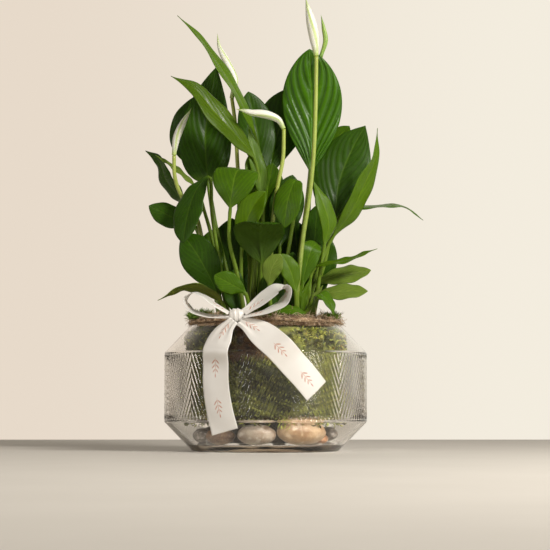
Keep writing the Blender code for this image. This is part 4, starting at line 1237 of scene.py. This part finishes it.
def step(tree, value, low, high, to_low=0.0, to_high=1.0):
    """A smooth step of a value from low to high."""
    made = add(tree, "ShaderNodeMapRange", {"Value": value, "From Min": low, "From Max": high,
                                            "To Min": to_low, "To Max": to_high},
               interpolation_type="SMOOTHSTEP")
    return made.outputs[0]


def fade(tree, value, low, high):
    """A smooth step down: 1 below low and 0 above high."""
    return step(tree, value, low, high, 1.0, 0.0)


def mixed(tree, factor, a, b):
    """Colour a where the factor is 0, and b where it is 1."""
    made = add(tree, "ShaderNodeMix", {0: factor}, data_type="RGBA")
    for index, colour in ((6, a), (7, b)):
        if isinstance(colour, bpy.types.NodeSocket):
            tree.links.new(colour, made.inputs[index])
        else:
            made.inputs[index].default_value = (*colour, 1)
    return made.outputs[2]


def tinted(tree, colour, share, amount, other):
    """The colour, moved by an amount towards another where the share is 1."""
    return mixed(tree, times(tree, share, amount), colour, other)


def noise_of(tree, scale, detail=3.0):
    """Noise in the object's own metres."""
    place = add(tree, "ShaderNodeTexCoord").outputs["Object"]
    made = add(tree, "ShaderNodeTexNoise", {"Vector": place, "Scale": scale, "Detail": detail})
    return made.outputs["Fac"]


def stored(tree, name):
    return add(tree, "ShaderNodeAttribute", attribute_name=name).outputs["Fac"]


def bumped(tree, shader, height, distance, strength):
    bump = add(tree, "ShaderNodeBump", {"Height": height, "Distance": distance,
                                        "Strength": strength})
    tree.links.new(bump.outputs["Normal"], shader.inputs["Normal"])


def coloured(tree, shader, colour):
    tree.links.new(colour, shader.inputs["Base Color"])


def leaf_material(name, patch_and_valley_shade, main, vein, under, gloss):
    """A blade: veins from the stored count, painted shade in the valleys, and a paler underside
    and stalk.
    """
    material, tree, shader = new_material(
        name, gloss, Subsurface_Weight=0.10, Subsurface_Scale=0.0012,
        Subsurface_Radius=(0.5, 1.0, 0.12), Specular_IOR_Level=0.16)
    count = stored(tree, "vein")
    off_vein = maths(tree, "PINGPONG", count, 0.5)
    fine = maths(tree, "PINGPONG", times(tree, count, 7.0), 0.5)
    on_fine = fade(tree, fine, 0.0, 0.25)
    on_rib = fade(tree, maths(tree, "ABSOLUTE", stored(tree, "across")), 0.012, 0.05)
    patches = step(tree, noise_of(tree, 38.0, 4.0), 0.35, 0.68)
    colour = mixed(tree, patches, main, [0.72 * m + 0.28 * d for m, d in zip(main, patch_and_valley_shade)])
    # Painted shade: the side veins lie in the quilting's valleys, and the blade darkens towards
    # them.
    colour = tinted(tree, colour, fade(tree, off_vein, 0.0, 0.42), 0.62, patch_and_valley_shade)
    colour = tinted(tree, colour, fade(tree, off_vein, 0.0, 0.10), 0.30, vein)
    colour = tinted(tree, colour, on_fine, 0.10, vein)
    colour = tinted(tree, colour, on_rib, 0.55, vein)
    colour = mixed(tree, stored(tree, "upper"), under, colour)
    along = stored(tree, "along")
    stalk = mixed(tree, fade(tree, along, -0.95, -0.35), STALK_UPPER, STALK_LOWER)
    coloured(tree, shader, mixed(tree, fade(tree, along, -0.10, 0.10), colour, stalk))
    tree.links.new(step(tree, noise_of(tree, 90.0), 0.3, 0.7, gloss - 0.05, gloss + 0.10),
                   shader.inputs["Roughness"])
    height = maths(tree, "ADD", times(tree, on_fine, -0.5), noise_of(tree, 300.0))
    bumped(tree, shader, height, 0.00008, 0.5)
    return material


def stem_material():
    material, tree, shader = new_material(
        "stem_skin", 0.36, Subsurface_Weight=0.15, Subsurface_Scale=0.002,
        Subsurface_Radius=(0.6, 1.0, 0.15))
    along = step(tree, stored(tree, "along"), 0.1, 0.95)
    streaks = step(tree, noise_of(tree, 160.0, 4.0), 0.35, 0.7)
    colour = mixed(tree, along, STEM_LOW, STEM_HIGH)
    coloured(tree, shader, tinted(tree, colour, streaks, 0.35, STEM_STREAK))
    bumped(tree, shader, noise_of(tree, 900.0), 0.0001, 0.5)
    return material


def spathe_material(name, white, green):
    """A spathe: green at its foot, its drawn tip and along its back, white between."""
    material, tree, shader = new_material(
        name, 0.42, Subsurface_Weight=0.25, Subsurface_Scale=0.002,
        Subsurface_Radius=(1.0, 0.9, 0.5))
    along = stored(tree, "along")
    across = stored(tree, "across")
    back = fade(tree, maths(tree, "ABSOLUTE", across), 0.03, 0.16)
    blush = step(tree, noise_of(tree, 120.0, 4.0), 0.45, 0.75)
    share = maths(tree, "MAXIMUM", fade(tree, along, 0.0, 0.20), step(tree, along, 0.70, 0.98))
    share = maths(tree, "MAXIMUM", share, times(tree, back, 0.8))
    share = maths(tree, "MAXIMUM", share, times(tree, blush, 0.18))
    coloured(tree, shader, mixed(tree, share, white, green))
    lines = maths(tree, "PINGPONG", times(tree, across, 9.0), 0.5)
    bumped(tree, shader, lines, 0.00010, 0.4)
    return material


def glass_material():
    """Clear glass with smoke in its depth: the longer light runs inside it, the browner it is."""
    material, tree, shader = new_material("smoky_glass", 0.012, Base_Color=GLASS_TINT,
                                          Transmission_Weight=1.0, IOR=1.46)
    smoke = add(tree, "ShaderNodeVolumeAbsorption",
                {"Color": GLASS_SMOKE, "Density": SMOKE_DENSITY})
    output = next(node for node in tree.nodes if node.type == "OUTPUT_MATERIAL")
    tree.links.new(smoke.outputs["Volume"], output.inputs["Volume"])
    bumped(tree, shader, noise_of(tree, 22.0, 2.0), 0.0006, 0.25)
    return material


def satin_material():
    """Satin: a soft sheen that runs with the weave, and soft blotches of painted fold shade. Its
    sprig print is plain shapes in copper.
    """
    material, tree, shader = new_material("white_satin", 0.30, Sheen_Weight=0.35,
                                          Anisotropic=0.5, Specular_IOR_Level=0.85)
    along = stored(tree, "along_mm")
    across = stored(tree, "across_mm")
    printed = None
    for offset, side, slant, length, breadth in SPRIG_LEAVES:
        place = maths(tree, "SUBTRACT", maths(tree, "MODULO", along, SPRIG_PITCH), offset)
        printed = petal(tree, printed, place, maths(tree, "SUBTRACT", across, side),
                        slant, length, breadth)
    # Painted shade: the satin darkens in soft blotches, as in the shade of folds.
    warm = mixed(tree, noise_of(tree, 30.0), SATIN_LIGHT, SATIN_FOLD_SHADE)
    coloured(tree, shader, mixed(tree, printed, warm, SPRIG_COPPER))
    threads = add(tree, "ShaderNodeCombineXYZ", {"X": times(tree, along, 0.35),
                                                 "Y": times(tree, across, 6.0)})
    weave = add(tree, "ShaderNodeTexNoise", {"Vector": threads.outputs[0], "Scale": 2.0,
                                             "Detail": 2.0})
    folds = maths(tree, "ADD", times(tree, weave.outputs["Fac"], 0.02), noise_of(tree, 32.0, 1.0))
    bumped(tree, shader, folds, 0.0040, 0.5)
    return material


def petal(tree, printed, along, across, slant, length, breadth):
    """Adds one slanting oval to a print: 1 inside it."""
    cos, sin = math.cos(math.radians(slant)), math.sin(math.radians(slant))
    long_way = maths(tree, "ADD", times(tree, along, cos), times(tree, across, sin))
    short_way = maths(tree, "SUBTRACT", times(tree, across, cos), times(tree, along, sin))
    squares = []
    for way, half in ((long_way, length), (short_way, breadth)):
        share = maths(tree, "ABSOLUTE", maths(tree, "DIVIDE", way, half))
        squares.append(maths(tree, "POWER", share, 2.0))
    inside = fade(tree, maths(tree, "ADD", *squares), 0.8, 1.15)
    return inside if printed is None else maths(tree, "MAXIMUM", printed, inside)


def moss_material():
    """Sheet moss: yellow-green, with painted shade in dark specks and blotches and over the left
    side, and a dead brown patch left of the front.
    """
    material, tree, shader = new_material("sheet_moss_green", 0.85, Subsurface_Weight=0.1,
                                          Subsurface_Scale=0.002)
    place = add(tree, "ShaderNodeTexCoord").outputs["Object"]
    parts = add(tree, "ShaderNodeSeparateXYZ", {0: place})
    x, y, z = (parts.outputs[axis] for axis in "XYZ")
    rough = noise_of(tree, 130.0, 5.0)
    # Painted shade: dark specks and blotches stand for the shade in the gaps between strands and
    # clumps.
    clump = step(tree, noise_of(tree, 75.0, 2.0), 0.42, 0.56, 0.75, 0.0)
    colour = mixed(tree, step(tree, rough, 0.35, 0.65), MOSS_SHADE, MOSS_MAIN)
    colour = mixed(tree, clump, colour, MOSS_SHADE)
    colour = tinted(tree, colour, stored(tree, "tone"), 0.95, MOSS_LIGHT)
    # Painted shade: the left side, away from the key light, is darkened.
    colour = tinted(tree, colour, fade(tree, x, -0.055, 0.0), 0.40, MOSS_SHADE)
    wobble = times(tree, maths(tree, "SUBTRACT", noise_of(tree, 28.0), 0.5), 0.045)
    x_place = maths(tree, "ADD", x, wobble)
    z_place = maths(tree, "ADD", z, wobble)
    patch = times(tree, step(tree, x_place, -0.040, -0.026), fade(tree, x_place, 0.003, 0.014))
    patch = times(tree, patch, step(tree, z_place, 0.078, 0.094))
    patch = times(tree, patch, fade(tree, y, -0.03, 0.0))
    browned = mixed(tree, step(tree, rough, 0.3, 0.7), PATCH_DARK, PATCH_LIGHT)
    coloured(tree, shader, tinted(tree, colour, patch, 0.9, browned))
    bumped(tree, shader, noise_of(tree, 500.0, 4.0), 0.0008, 0.9)
    return material


def speckled_material(name, roughness, dark, main, light, scale, bump):
    """Noise of three colours, with a rough skin; fibres with a stored tone take it too."""
    material, tree, shader = new_material(name, roughness)
    colour = mixed(tree, step(tree, noise_of(tree, scale, 5.0), 0.32, 0.66), dark, main)
    colour = mixed(tree, step(tree, noise_of(tree, scale * 3.1, 4.0), 0.52, 0.72), colour, light)
    coloured(tree, shader, tinted(tree, colour, stored(tree, "tone"), 0.6, light))
    bumped(tree, shader, noise_of(tree, scale * 4, 5.0), bump, 0.8)
    return material


def build_materials():
    """Every material, by the name that the pieces give it."""
    return {
        **{key: leaf_material(key, *palette) for key, palette in PALETTES.items()},
        **{key: speckled_material(*look) for key, look in SPECKLED.items()},
        "stem": stem_material(),
        "spathe": spathe_material("spathe_white", SPATHE_WHITE, SPATHE_GREEN),
        "bud": spathe_material("spathe_green", BUD_GREEN, BUD_DEEP),
        "glass": glass_material(),
        "satin": satin_material(),
        "moss": moss_material(),
    }


# --- stage ---


def build_floor():
    """A pale table top, which ends a little behind the bowl."""
    corners = [(-TABLE_HALF, TABLE_FRONT, TABLE_TOP), (TABLE_HALF, TABLE_FRONT, TABLE_TOP),
               (TABLE_HALF, TABLE_BACK, TABLE_TOP), (-TABLE_HALF, TABLE_BACK, TABLE_TOP)]
    mesh = mesh_of("table_top", corners, [(0, 1, 2, 3)], smooth=False)
    table = linked("table_top", mesh)
    material, tree, shader = new_material("table_cloth", 0.8)
    coloured(tree, shader, mixed(tree, noise_of(tree, 9.0), TABLE_SHADE, TABLE_COLOUR))
    mesh.materials.append(material)


def build_world():
    """A warm wall behind, and a dimmer room in front, above and at the sides."""
    world = bpy.data.worlds.new("warm_wall")
    bpy.context.scene.world = world
    world.use_nodes = True
    tree = world.node_tree
    looking = add(tree, "ShaderNodeTexCoord").outputs["Generated"]
    parts = add(tree, "ShaderNodeSeparateXYZ", {0: looking})
    wall = mixed(tree, step(tree, parts.outputs["X"], -0.16, 0.16), WALL_LEFT, WALL_RIGHT)
    sides = mixed(tree, step(tree, parts.outputs["X"], -0.9, -0.3), ROOM_LEFT, ROOM_COLOUR)
    room = mixed(tree, step(tree, parts.outputs["Z"], 0.15, 0.75), sides, CEILING_COLOUR)
    colour = mixed(tree, step(tree, parts.outputs["Y"], 0.40, 0.85), room, wall)
    tree.links.new(colour, tree.nodes["Background"].inputs["Color"])


def aim(obj, place, target):
    obj.location = place
    obj.rotation_euler = (Vector(target) - Vector(place)).to_track_quat("-Z", "Y").to_euler()


def build_lights():
    for name, place, width, height, power, colour in LIGHTS:
        data = bpy.data.lights.new(name, "AREA")
        data.shape = "RECTANGLE"
        data.size = width
        data.size_y = height
        data.energy = power
        data.color = colour
        aim(linked(name, data), place, LIGHT_TARGET)


def build_camera():
    data = bpy.data.cameras.new("camera")
    data.lens = CAMERA_LENS
    data.sensor_width = CAMERA_SENSOR
    camera = linked("camera", data)
    aim(camera, CAMERA_PLACE, CAMERA_TARGET)
    bpy.context.scene.camera = camera


def set_light_paths():
    """Plain colours, and enough bounces for light to pass along inside the thick glass foot."""
    scene = bpy.context.scene
    scene.view_settings.view_transform = "Standard"
    scene.cycles.max_bounces = GLASS_BOUNCES
    scene.cycles.glossy_bounces = GLASS_BOUNCES
    scene.cycles.transmission_bounces = GLASS_BOUNCES


def save_size():
    """Brings the scene's placements up to date."""
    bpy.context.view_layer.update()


def main():
    materials = build_materials()
    build_bowl(materials)
    build_moss_sheet(materials)
    build_soil(materials)
    build_moss_rim(materials)
    for tuft in TUFTS:
        build_tuft(*tuft, materials)
    build_pebbles(materials)
    for seed, leaf in enumerate(LEAVES):
        build_leaf(leaf, seed, materials)
    for seed, leaf in enumerate(CROWD):
        build_leaf(leaf, seed + 0.5, materials, replaces=False)
    for flower in FLOWERS:
        stem = build_stem(flower, materials)
        build_spathe(flower, stem, materials)
    for loop in LOOPS:
        build_loop(loop, materials)
    for tail in TAILS:
        build_tail(tail, materials)
    build_knot(materials)
    finish_pick(materials)
    build_floor()
    build_world()
    build_lights()
    build_camera()
    set_light_paths()
    save_size()


main()
